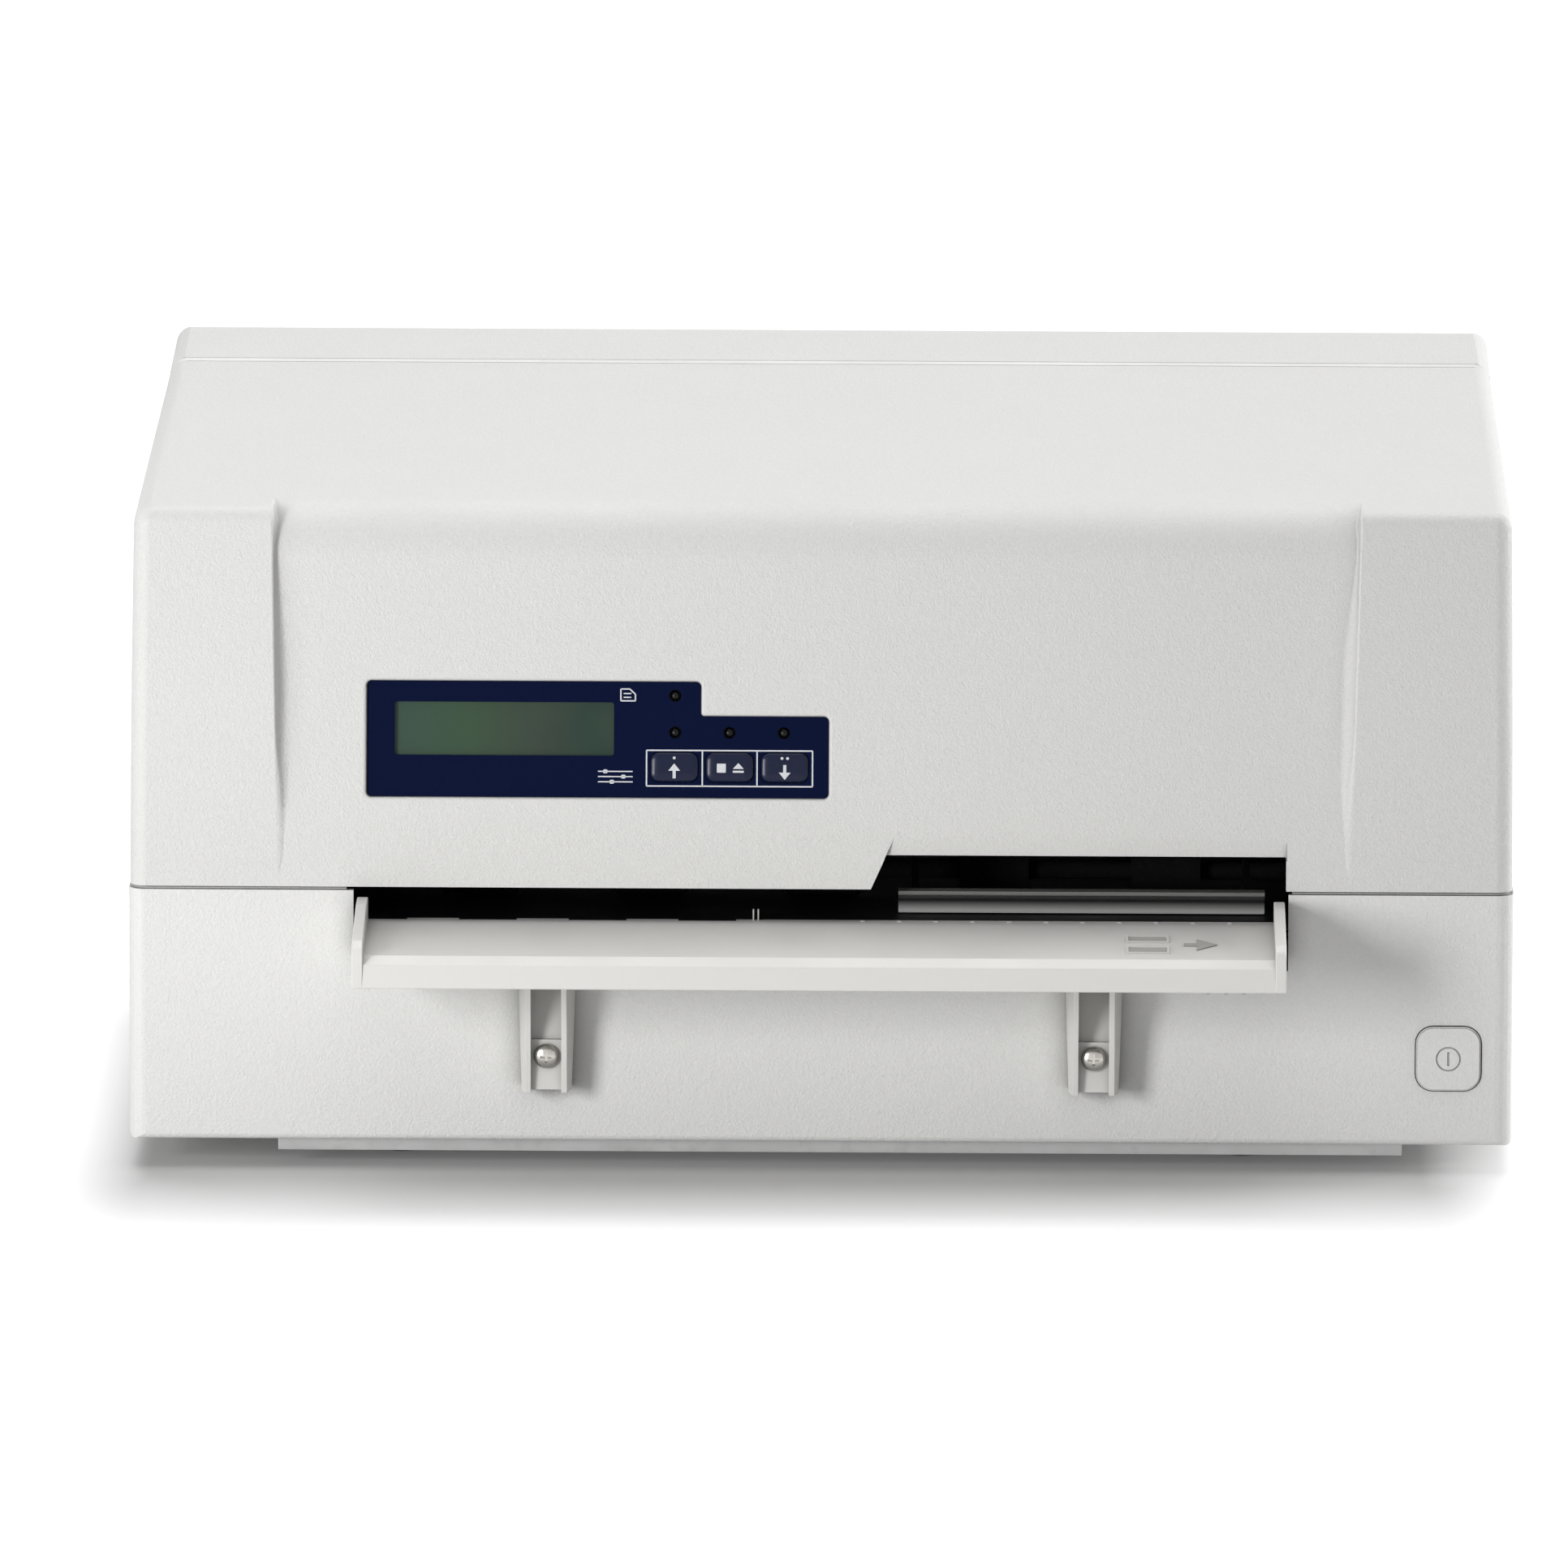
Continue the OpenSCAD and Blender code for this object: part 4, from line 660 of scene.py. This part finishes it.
def buildCover(look):
    cover = meshObject("coverShell", buildCoverSkin(look))
    wall = cover.modifiers.new("wall", "SOLIDIFY")
    wall.thickness = look["wall"] * mm
    wall.offset = -1
    wall.use_even_offset = True
    wall.use_rim = True
    bake(cover)
    return cover


notchLook = {"lowX": 8.704, "footX": 14.4, "topX": 18.83, "creaseX": 20.95, "rightX": 134.25,
             "lowZ": 70, "topZ": 92.6, "fadeZ": 97.4, "recess": 1.3}
overlayLook = {
    "corners": ((-131.2, 6.1, 1.4), (2, 6.1, 1.4), (2, 29.6, 1.4), (-34.9, 29.6, 1),
                (-34.9, 39.5, 1.4), (-131.2, 39.5, 1.4)),
    "low": -1.7, "high": -1.4, "lip": 0.9,
    "display": (-91.6, 25.8), "displaySize": (63.3, 15.4),
    "lamps": ((-42.3, 35.5), (-42.3, 24.9), (-26.6, 24.9), (-10.9, 24.9)),
    "keys": ((-42.5, 14.9), (-26.5, 14.9), (-10.6, 14.9)), "keySize": (13.8, 8.6), "keyR": 2.4,
}
# display and keys as (growth, corner radius), lamps as (radius, points)
coverOpenings = {"display": (2, 0.6), "lamp": (1.9, 20), "key": (0.8, 2.6), "depth": (-8, 0)}
filmOpenings = {"display": (0, 0.8), "lamp": (1.75, 24), "key": (0.3, 2.6), "depth": (-4, 2)}


def overlayOutline(grow):
    # inner corner of the step moves the other way
    moved = []
    for k, (u, v, r) in enumerate(overlayLook["corners"]):
        du = -grow if u < -100 else grow
        dv = -grow if v < 10 else grow
        moved.append((u + du, v + dv, r + (grow if k != 3 else -grow * 0.5)))
    return roundCorners(moved, 5)


def panelOpenings(look):
    def grown(size, change, at):
        return roundedBox(size[0] + change[0], size[1] + change[0], change[1], at)

    o = overlayLook
    shapes = [grown(o["displaySize"], look["display"], o["display"])]
    shapes += [circlePoints(look["lamp"][0], at, look["lamp"][1]) for at in o["lamps"]]
    shapes += [grown(o["keySize"], look["key"], at) for at in o["keys"]]
    return joined([prism(shape, *(onPanel(out) for out in look["depth"])) for shape in shapes])


def cutCover(cover, look):
    hingeY, hingeZ = look["hinge"]
    back = [(hingeY, 240)]
    for k in range(9):
        a = radians(94.04 - k * (94.04 - 14) / 8)
        back.append((hingeY + look["barrel"] * cos(a), hingeZ + look["barrel"] * sin(a)))
    back += [(look["backY"], 190), (look["backY"], 60), (140, 60), (140, 240)]
    cut(cover, prism(back, inYz(-230), inYz(230)))
    # notch over the right half of the paper slot
    n = notchLook
    opening = roundCorners([
        (n["lowX"], n["lowZ"], 0), (n["footX"], look["bottomZ"], 1.2), (n["topX"], n["topZ"], 0.3),
        (n["rightX"], n["topZ"], 0.4), (n["rightX"], look["bottomZ"], 1.8), (n["rightX"] + 9, n["lowZ"], 0)], 5)
    cut(cover, prism(opening, inXz(-125), inXz(-105)))
    # the face sinks a little towards the notch
    front, right, low = look["frontY"], n["rightX"] + 0.25, n["topZ"] - 1
    sunk = front + 0.3 + n["recess"] * (n["fadeZ"] - low) / (n["fadeZ"] - n["topZ"])
    fade = panelFaceY(look, n["fadeZ"])
    wedge = ((n["creaseX"] - 0.05, fade, n["fadeZ"]), (right, fade, n["fadeZ"]), (right, sunk, low),
             (n["topX"] - 0.6, sunk, low))
    cut(cover, loft([(wedge, lambda p: Vector(p) * mm),
                     (wedge, lambda p: Vector((p[0], front - 6, p[2])) * mm)]))
    # recess of the operator panel: an upright wall with a rounded lip
    o = overlayLook
    lip = o["lip"]
    rings = [(overlayOutline(0.15), onPanel(-1.4))]
    for k in range(6):
        a = radians(18 * k)
        rings.append((overlayOutline(0.15 + lip * (1 - cos(a))), onPanel(-lip * (1 - sin(a)))))
    rings.append((overlayOutline(0.15 + lip + 0.3), onPanel(3)))
    cut(cover, loft(rings))
    cut(cover, prism(overlayOutline(0.15), onPanel(o["low"]), onPanel(1)))
    cut(cover, panelOpenings(coverOpenings))


def panelFaceY(look, z):
    # front face of the middle at this height, below the lean
    part = (z - look["panelFootZ"]) / (panelOrigin.z - look["panelFootZ"])
    return look["frontY"] + (panelOrigin.y - look["frontY"]) * part


def addCoverInside(cover, look):
    hingeY, hingeZ = look["hinge"]
    parts = []
    for u, v in ((-127, 8.5), (-127, 41), (-51.5, 38.5), (-1.5, 8)):
        parts.append(prism(circlePoints(2.6, (u, v), 24), onPanel(-10.4), onPanel(-2)))
    for sign in (-1, 1):
        ring = circlePoints(3, (hingeY, hingeZ), 24)
        parts.append(prism(ring, inYz(sign * 190.3), inYz(sign * 195.6)))
    extra = joined(parts)
    extra.from_mesh(cover.data)
    extra.to_mesh(cover.data)
    extra.free()


cover = buildCover(coverLook)
cutCover(cover, coverLook)
addCoverInside(cover, coverLook)
shade(cover, 28)
settle(cover, "cover_body", "case_plastic", "cover")
print("cover:", len(cover.data.polygons), "faces")


# pieces that keep their solid's shape and get moulded or broken edges
edgeWidths = {
    "lower_casing": 0.5, "rear_hood": 0.5, "tray_bracket_left": 0.3,
    "tray_bracket_right": 0.3, "base_plate": 0.35, "power_button": 0.06,
    "lcd_module": 0.3, "power_switch": 0.4, "platen": 0.4, "paper_bed": 0.15,
    "front_rail": 0.15, "front_pressure_roller": 0.1, "carriage": 0.5, "print_head": 0.4,
    "motor_bracket": 0.2, "idler_bracket": 0.2, "carriage_motor": 0.5, "feed_motor": 0.5,
    "ribbon_cassette": 0.6, "ribbon_knob": 0.3, "supply_case": 0.2, "transformer": 0.3,
    "parallel_port": 0.15, "serial_port": 0.15, "power_inlet": 0.3, "chassis_pan": 0.15,
    "side_frame_left": 0.2, "side_frame_right": 0.2, "feet": 0.4,
}
# painted light: the lower casing and power button get a lighter copy of the case plastic, standing in for more
# light on the lower front
paintedLightCase = plastic("paintedLightCase", dict(caseLook, color=(0.81, 0.807, 0.79)))
# painted shade: the front rail and front pressure roller are painted black, as the shade inside the paper slot
otherMaterials = {"front_rail": shadeBlackSteel, "front_pressure_roller": materials["rubber"],
                  "lower_casing": paintedLightCase, "power_button": paintedLightCase}
bodyOf = {name: body for body, names in frame["record"]["behaviour"]["bodies"].items() for name in names}


def foldedFaces(piece):
    # a face that crosses itself fills a larger area than its outline encloses
    bm = bmesh.new()
    bm.from_mesh(piece.data)
    extra = {face: -face.calc_area() for face in bm.faces}
    for a, b, c in bm.calc_loop_triangles():
        extra[a.face] += (b.vert.co - a.vert.co).cross(c.vert.co - a.vert.co).length / 2
    count = sum(abs(area) > 0.01 * face.calc_area() + 0.02 * mm * mm for face, area in extra.items())
    bm.free()
    return count


def startPiece(nodeName, merge):
    bm = bmesh.new()
    bm.from_mesh(frame["nodes"][nodeName].data)
    bmesh.ops.remove_doubles(bm, verts=bm.verts, dist=0.002 * mm)
    if merge:
        bmesh.ops.dissolve_limit(bm, angle_limit=radians(0.6), verts=bm.verts, edges=bm.edges)
    return meshObject(nodeName + "_finished", bm)


plainAngle = 14


def refine(nodeName, width):
    # narrower edges where the wide ones would fold, and the solid's own edges as the last choice
    for part in (1, 0.5, 0.25, 0):
        piece = startPiece(nodeName, part > 0)
        if part > 0:
            softenEdges(piece, width * part)
        if part == 0 or not foldedFaces(piece):
            break
        bpy.data.objects.remove(piece)
    if part < 1:
        print("edge width of", nodeName, width * part)
    if not part:
        shade(piece, plainAngle)
    settle(piece, bodyOf[nodeName], slotOf[nodeName], nodeName, material=otherMaterials.get(nodeName))


for nodeName, width in edgeWidths.items():
    refine(nodeName, width)
print("finished solids:", len(edgeWidths))


# paper tray
trayLookOf = {
    "half": 133.3, "outer": 133.8, "ear": 3.1, "soft": 0.35, "earSoft": 0.9,
    "floor": ((-112.6, 72.98, 0.2), (-121.5, 73.3, 0), (-160.2, 70.7, 0.7), (-164.3, 68.6, 0.9),
              (-165, 61.8, 0.4), (-162.6, 61.8, 0.4), (-161.6, 66.2, 1.6), (-112.6, 70.5, 0.3)),
    "earShape": ((-161, 75.2, 2), (-164.7, 73.4, 2), (-165, 61.8, 0.4), (-159, 61.8, 0.4), (-115.6, 62.5, 1),
                 (-115.6, 80.2, 2), (-129, 80.2, 14)),
    "tongues": ((-119.6, -104.6), (-87.9, -72.9), (-56.2, -41.2), (-24.5, 130.6)),
    "ribs": (1, 12), "ribStart": 0.8, "ribPitch": 10.6,
    # (width, front and back, bottom and top)
    "rib": (1.3, (-113.4, -112.4), (71.5, 73.3)), "post": (0.4, (-112, -110.6), (71.5, 76.2)),
    "web": (1.6, (-162, -116.6), (64.5, 68.2)), "tab": (1.2, (-161, -157), (60.7, 68)),
    "posts": (-19.7, -18.3), "webs": (-100.8, -40.8, -0.8, 39.2, 99.2), "tabs": (110.9, 116, 121.1),
    "slope": atan2(2.6, 38.7), "signs": (-160.2, 70.7),
}


def buildTray(look):
    ends = inYz(-look["half"]), inYz(look["half"])
    tray = meshObject("trayFloor", prism(roundCorners(look["floor"], 5), *ends))
    for span in look["tongues"]:
        cut(tray, box(span, (-113.4, -110.4), (72.5, 73)), "UNION")
    ribs = [look["ribStart"] + k * look["ribPitch"] for k in range(*look["ribs"])]
    for name, places in (("rib", ribs), ("post", look["posts"]), ("web", look["webs"]), ("tab", look["tabs"])):
        width, ys, zs = look[name]
        for left in places:
            cut(tray, box((left, left + width), ys, zs), "UNION")
    softenEdges(tray, look["soft"])
    settle(tray, "chassis", "tray_plastic", "paper_tray")
    for sign in (-1, 1):
        sides = inYz(sign * look["outer"]), inYz(sign * (look["outer"] - look["ear"]))
        ear = meshObject("trayEar", prism(roundCorners(look["earShape"], 5), *sides))
        softenEdges(ear, look["earSoft"], 4, 50, 50)
        settle(ear, "chassis", "tray_plastic", "paper_tray")


def buildTraySigns(look):
    # raised lines: two sheets and an arrow that say where the paper edge goes
    y, z = look["signs"]
    along = Vector((0, cos(look["slope"]), sin(look["slope"])))
    out = Vector((0, -sin(look["slope"]), cos(look["slope"])))

    def onTray(height):
        return lambda p: (Vector((p[0], y, z)) + along * p[1] + out * height) * mm

    def raised(points, height):
        return prism(points, onTray(-0.3), onTray(height))

    def sheets(width, height, radius):
        return [roundedBox(width, height, radius, (94.2, v)) for v in (11, 24)]

    signs = meshObject("traySigns", joined([raised(sheet, 0.32) for sheet in sheets(12.6, 8.2, 0.4)]))
    cut(signs, joined([prism(sheet, onTray(0.02), onTray(2)) for sheet in sheets(11, 6, 0.2)]))
    arrow = ((104.6, 15.6), (104.6, 18.4), (108.6, 18.6), (108.3, 23.4), (114.2, 17), (108.3, 10.6),
             (108.6, 15.4))
    softenEdges(signs, 0.1)
    settle(signs, "chassis", "tray_plastic")
    fills = [raised(sheet, 0.06) for sheet in sheets(11.2, 6.2, 0.2)] + [raised(arrow, 0.35)]
    faces = meshObject("traySignFaces", joined(fills))
    shade(faces)
    settle(faces, "chassis", "tray_plastic", material=plastic("signFace", signFaceLook))


buildTray(trayLookOf)
buildTraySigns(trayLookOf)

# grey guide strip in the slot, on hangers painted black as shade
guideLook = {"ends": (22.3, 128.3), "middle": (-103.3, 73.6), "radius": 4.8, "thick": 0.9, "top": 80.4,
             "shadeHangers": (26, 122), "shadeMaskFrom": (0.0742, 0.0772), "shadeMaskTo": (0.0786, 0.0792)}


def greyWithPaintedShade(look):
    # painted shade: the upper part of the hollow is darkened by height, standing in for the shadow under the
    # cover
    material = plastic("guideGreyPaintedShade", look)
    tree = material.node_tree
    shader = tree.nodes["Principled BSDF"]
    unshadedColor = shader.inputs["Base Color"].links[0].from_socket
    height = splitPlace(tree)["Z"]
    shadeMask = addMath(tree, "MULTIPLY", addRange(tree, height, *guideLook["shadeMaskFrom"]),
                   addRange(tree, height, *guideLook["shadeMaskTo"], 1, 0.3))
    setInputs(shader, {"Base Color": mixColors(tree, shadeMask, unshadedColor, (0.008, 0.008, 0.008))})
    return material




def buildGuide(look):
    y, z = look["middle"]
    r = look["radius"]
    outline = [(y - 0.3, look["top"]), (y + 0.5, look["top"] - 1.1), (y + 2.1, look["top"] - 1.1),
               (y + 2.1, z + r + 0.4), (y, z + r + 0.3)]
    for k in range(13):
        a = radians(90 - 7.5 * k)
        outline.append((y + r * cos(a), z + r * sin(a)))
    outline += [(y + r - 0.35, z - 0.02), (y + r - 0.35, z - 0.3), (y + r + look["thick"], z - 0.3),
                (y + r + look["thick"], z + 2.5), (y + r + 0.2, look["top"])]
    strip = meshObject("guideStrip", prism(outline, *(inYz(x) for x in look["ends"])))
    softenEdges(strip, 0.12)
    settle(strip, "chassis", "grey_plastic", "upper_paper_guide", material=greyWithPaintedShade(greyLook))
    shape = ((-98.2, 75), (-70, 75), (-80, 84), (-80, 96), (-82, 96), (-86, 88), (-98.2, 80))
    shadeHangers = meshObject("guideHangersPaintedShade", joined([prism(shape, inYz(x), inYz(x + 2)) for x in look["shadeHangers"]]))
    softenEdges(shadeHangers, 0.2)
    # painted shade: the hangers belong to the grey guide and are painted black where they lie in shadow
    settle(shadeHangers, "chassis", "grey_plastic", "upper_paper_guide", material=materials["black_plastic"])


buildGuide(guideLook)

# pan head screws of the brackets
screwHeadLook = {
    "places": (-79, 79), "height": 35.2, "recess": (3.7, 0.9), "slotDepth": (-127.5, -125.2),
    "profile": ((1.5, -108), (1.5, -123.98), (3.55, -123.98), (3.6, -124.9), (3.45, -125.35), (3.1, -125.75),
                (2.5, -126.1), (1.75, -126.36), (0.9, -126.52), (0.25, -126.56)),
}


def buildTrayScrews(look):
    for x in look["places"]:
        at = (x, look["height"])
        screw = meshObject("trayScrew", loft([(circlePoints(r, at, 40), inXz(y)) for r, y in look["profile"]]))
        length, width = look["recess"]
        for size in ((length, width), (width, length)):
            cut(screw, loft([(roundedBox(size[0] * k, size[1] * k, 0.12, at, 2), inXz(y))
                             for k, y in zip((1.06, 0.8), look["slotDepth"])]))
        shade(screw, 40)
        settle(screw, "chassis", "screw_steel", "tray_screws")


buildTrayScrews(screwHeadLook)
print("tray, guide and screws done")


# raised lip of the lower casing that shows as a light strip in the seam
seamLook = {"low": 82.02, "high": 82.4, "front": -114.4, "back": 164.4, "side": 199.1, "corner": 4.6,
            "thick": 0.75, "open": (-137, 136)}


def buildSeamStrip(look):
    def outline(inset):
        width, depth = (look["side"] - inset) * 2, look["back"] - look["front"] - 2 * inset
        return roundedBox(width, depth, look["corner"] - inset, (0, (look["front"] + look["back"]) / 2), 8)

    strip = meshObject("seamStrip", prism(outline(0), inXy(look["low"]), inXy(look["high"])))
    left, right = look["open"]
    mouth = roundedBox(right - left, 12, 0, ((left + right) / 2, look["front"]))
    for shape in (outline(look["thick"]), mouth):
        cut(strip, prism(shape, inXy(look["low"] - 1), inXy(look["high"] + 1)))
    softenEdges(strip, 0.07)
    settle(strip, "chassis", "case_plastic")


buildSeamStrip(seamLook)

# painted shade: a black sleeve in the gap round the power button, standing in for the shadow in the gap
gapShadeSleeveLook = {"at": (181.5, 34.1), "inner": (18.92, 5), "outer": (20.1, 6), "depth": (-114.86, -113.2)}


def buildButtonGapShade(look):
    def square(size, radius, beyond):
        front, back = look["depth"]
        return prism(roundedBox(size, size, radius, look["at"], 8), inXz(front - beyond), inXz(back + beyond))

    gapShadeSleeve = meshObject("buttonGapShade", square(*look["outer"], 0))
    cut(gapShadeSleeve, square(*look["inner"], 1))
    settle(gapShadeSleeve, "chassis", "black_plastic")


buildButtonGapShade(gapShadeSleeveLook)

# pale strip along the front edge of the rear hood, lighter than the case as a painted highlight, seen as a line
# across the top
hoodStripLook = {"straight": 192.3, "radius": 5, "over": (0, 1.4, 2.6, 3.6, 4.3, 4.7),
                 "section": ((99.7, 204.95), (101.25, 205.72), (101.25, 204.4), (99.95, 204.5))}
# painted highlight: the strip is paler than the case plastic
hoodHighlightLook = dict(whiteLook, color=(0.82, 0.82, 0.8))


def buildHoodStrip(look):
    # straight over the top, then down round both shoulders
    rings = []
    for sign in (-1, 1):
        for over in look["over"][::sign]:
            drop = look["radius"] - sqrt(look["radius"] ** 2 - over ** 2)
            section = [(y, z - drop) for y, z in look["section"]]
            rings.append((section, inYz(sign * (look["straight"] + over))))
    strip = meshObject("hoodStrip", loft(rings))
    shade(strip)
    settle(strip, "chassis", "white_plastic", material=plastic("stripWhitePaintedHighlight", hoodHighlightLook))


buildHoodStrip(hoodStripLook)

# operator panel
def buildOverlay():
    o = overlayLook
    film = meshObject("panelFilm", prism(overlayOutline(0), onPanel(o["low"]), onPanel(o["high"])))
    cut(film, panelOpenings(filmOpenings))
    shade(film)
    settle(film, "cover_body", "navy_film", "panel_overlay")


def buildKey(nodeName, body, at):
    # a crowned cap on a stem, flush with the film at its rim
    width, height = overlayLook["keySize"]
    radius = overlayLook["keyR"]
    rings = [(roundedBox(width, height, radius, at), onPanel(out)) for out in (-2.2, -1.6)]
    for k in range(1, 7):
        a = radians(15 * k)
        inset = 6 * (1 - cos(a)) + 0.1
        rings.append((roundedBox(width - inset, height - inset, max(radius - inset / 2, 0.5) + 0.2, at),
                      onPanel(-1.55 + 0.85 * sin(a))))
    stem = prism(circlePoints(1.7, at, 24), onPanel(-7.3), onPanel(-2.1))
    key = meshObject(nodeName + "_cap", joined([loft(rings), stem]))
    shade(key, 50)
    settle(key, body, "navy_key", nodeName)


keyBodies = (("key_up", "up_key"), ("key_stop", "stop_key"), ("key_down", "down_key"))
buildOverlay()
for (nodeName, body), at in zip(keyBodies, overlayLook["keys"]):
    buildKey(nodeName, body, at)

printLook = {"thick": 0.05, "line": 0.42, "left": -50.5, "right": -2.6, "low": 9.45, "high": 19.75,
             "dividers": (-34.4, -18.6), "keyLevel": -0.72}


def strip(a, b, width):
    # a thin line between two points
    start, stop = Vector(a), Vector(b)
    side = (stop - start).orthogonal().normalized() * width / 2
    return [start + side, stop + side, stop - side, start - side]


def printMarks(name, body, shapes, level):
    sides = onPanel(level), onPanel(level + printLook["thick"])
    marks = meshObject(name, joined([prism(shape, *sides) for shape in shapes]))
    settle(marks, body, "white_plastic", material=printWhite)


def buildPanelPrint():
    # frame round the keys, and plain symbols beside them
    p = printLook
    line = p["line"]
    shapes = []
    for v in (p["low"], p["high"]):
        shapes.append(strip((p["left"], v), (p["right"], v), line))
    for u in (p["left"], p["right"]) + p["dividers"]:
        shapes.append(strip((u, p["low"]), (u, p["high"]), line))
    # a sheet with a folded corner beside the paper lamp
    sheet = [(-58, 34), (-58, 37.4), (-55.4, 37.4), (-53.8, 35.9), (-53.8, 34)]
    for k in range(len(sheet)):
        shapes.append(strip(sheet[k - 1], sheet[k], 0.4))
    for v in (35, 36.1):
        shapes.append(strip((-57.2, v), (-55, v), 0.35))
    # three sliders for the settings
    for k, knob in enumerate((-60.5, -57.2, -62.4)):
        v = 10.6 + 1.5 * k
        shapes.append(strip((-64.5, v), (-54.5, v), 0.35))
        shapes.append(roundedBox(1.3, 1.1, 0.3, (knob, v), 2))
    printMarks("panelPrint", "cover_body", shapes, overlayLook["high"] - 0.01)


def arrowOutline(at, turn):
    shape = [(-0.45, -2), (0.45, -2), (0.45, 0.2), (1.7, 0.2), (0, 2.3), (-1.7, 0.2), (-0.45, 0.2)]
    return [Vector((at[0] + a, at[1] + b * turn)) for a, b in shape]


def buildKeyPrint():
    up, stop, down = overlayLook["keys"]
    dots = [circlePoints(0.42, (up[0], up[1] + 2.7), 12)]
    caps = [
        ("up_key", [arrowOutline((up[0], up[1] - 1.2), 1)] + dots),
        ("stop_key", [roundedBox(2.6, 2.6, 0.1, (stop[0] - 2.4, stop[1] - 0.2), 1),
                      [Vector((stop[0] + 0.9, stop[1] - 0.4)), Vector((stop[0] + 4.1, stop[1] - 0.4)),
                       Vector((stop[0] + 2.5, stop[1] + 1.3))],
                      roundedBox(3.2, 0.6, 0.1, (stop[0] + 2.5, stop[1] - 1.2), 1)]),
        ("down_key", [arrowOutline((down[0], down[1] - 1.2), -1)] + [
            circlePoints(0.42, (down[0] + s, down[1] + 2.7), 12) for s in (-0.8, 0.8)]),
    ]
    for body, shapes in caps:
        printMarks(body + "_print", body, shapes, printLook["keyLevel"])


buildPanelPrint()
buildKeyPrint()
print("operator panel done")

# camera
cameraLook = {"target": (-10.75, -115, 113.53), "down": 9.51, "yaw": 0.70, "roll": 0.19,
              "distance": 5400, "focus": 23070, "picture": 1932}


def placeCamera(look):
    down, yaw, roll = (radians(look[k]) for k in ("down", "yaw", "roll"))
    ahead = Vector((sin(-yaw) * cos(down), cos(yaw) * cos(down), -sin(down)))
    right = ahead.cross(Vector((0, 0, 1))).normalized()
    up = right.cross(ahead)
    tiltedRight = right * cos(roll) + up * sin(roll)
    tiltedUp = up * cos(roll) - right * sin(roll)
    place = Vector(look["target"]) - ahead * look["distance"]
    data = bpy.data.cameras.new("camera")
    data.sensor_width = 36
    data.lens = look["focus"] * data.sensor_width / look["picture"]
    data.clip_end = 100
    camera = placeObject("camera", data)
    turned = Matrix((tiltedRight, tiltedUp, -ahead)).transposed().to_4x4()
    turned.translation = place * mm
    camera.matrix_world = turned
    bpy.context.scene.camera = camera


placeCamera(cameraLook)

# floor, world and lamps
stageLook = {"floorSize": 30, "floorColor": 0.62, "paintedShadowLift": (0.07, 0.66), "middle": (-0.01, 0.135),
             "half": (0.184, 0.265), "fade": (0.03, 0.11), "worldLight": 0.19}
sunLook = {
    "backSun": {"toward": (0.0, -0.46, -0.89), "strength": 1.36, "spread": 36},
    "overSun": {"toward": (0.04, 0.1, -0.99), "strength": 0.52, "spread": 44},
    "sideSun": {"toward": (-0.93, -0.31, -0.2), "strength": 2.2, "spread": 30},
}
softboxLook = {"at": (-790, -1080, 270), "aim": (0, -115, 105), "size": (310, 470), "watts": 9.1}


def seenDirectly(tree):
    path = addNode(tree, "LightPath", {})
    seen = addMath(tree, "MAXIMUM", path["Is Camera Ray"], path["Is Glossy Ray"])
    return addMath(tree, "MAXIMUM", seen, path["Is Transmission Ray"])


def placeLamp(data, at, toward):
    lamp = placeObject(data.name, data)
    lamp.location = at * mm
    lamp.rotation_euler = toward.to_track_quat("-Z", "Y").to_euler()


def buildStage(look):
    bm = bmesh.new()
    bmesh.ops.create_grid(bm, x_segments=8, y_segments=8, size=look["floorSize"] / 2)
    floor = meshObject("floor", bm)
    material, tree, shader = startMaterial("paleFloor")
    # painted shadow: the white lift is low near the object and darkens the floor there beyond its real shadow;
    # the sweep behind and beside it goes to white
    place = splitPlace(tree)
    squares = []
    for axis, middle, half, fade in zip("XY", look["middle"], look["half"], look["fade"]):
        away = addMath(tree, "ABSOLUTE", addMath(tree, "SUBTRACT", place[axis], middle), 0)
        beyond = addMath(tree, "MAXIMUM", addMath(tree, "SUBTRACT", away, half), 0)
        squares.append(addMath(tree, "POWER", addMath(tree, "DIVIDE", beyond, fade), 2))
    reach = addMath(tree, "SQRT", addMath(tree, "ADD", squares[0], squares[1]), 0)
    paintedShadowLift = addMath(tree, "MULTIPLY", seenDirectly(tree), addRange(tree, reach, 0, 1, *look["paintedShadowLift"]))
    setInputs(shader, {"Base Color": (look["floorColor"],) * 3 + (1,), "Roughness": 0.9,
                       "Specular IOR Level": 0, "Emission Color": (1, 1, 1, 1), "Emission Strength": paintedShadowLift})
    floor.data.materials.append(material)
    world = bpy.data.worlds.new("studio")
    world.use_nodes = True
    bpy.context.scene.world = world
    tree = world.node_tree
    strength = addRange(tree, seenDirectly(tree), 0, 1, look["worldLight"], 1)
    setInputs(tree.nodes["Background"], {"Color": (1, 1, 1, 1), "Strength": strength})
    for name, lamp in sunLook.items():
        sun = bpy.data.lights.new(name, "SUN")
        sun.energy = lamp["strength"]
        sun.angle = radians(lamp["spread"])
        placeLamp(sun, Vector((0, 0, 2000)), Vector(lamp["toward"]))
    softbox = bpy.data.lights.new("softbox", "AREA")
    softbox.shape = "RECTANGLE"
    softbox.size, softbox.size_y = (side * mm for side in softboxLook["size"])
    softbox.energy = softboxLook["watts"]
    placeLamp(softbox, Vector(softboxLook["at"]), Vector(softboxLook["aim"]) - Vector(softboxLook["at"]))


buildStage(stageLook)
bpy.context.scene.view_settings.view_transform = "Standard"
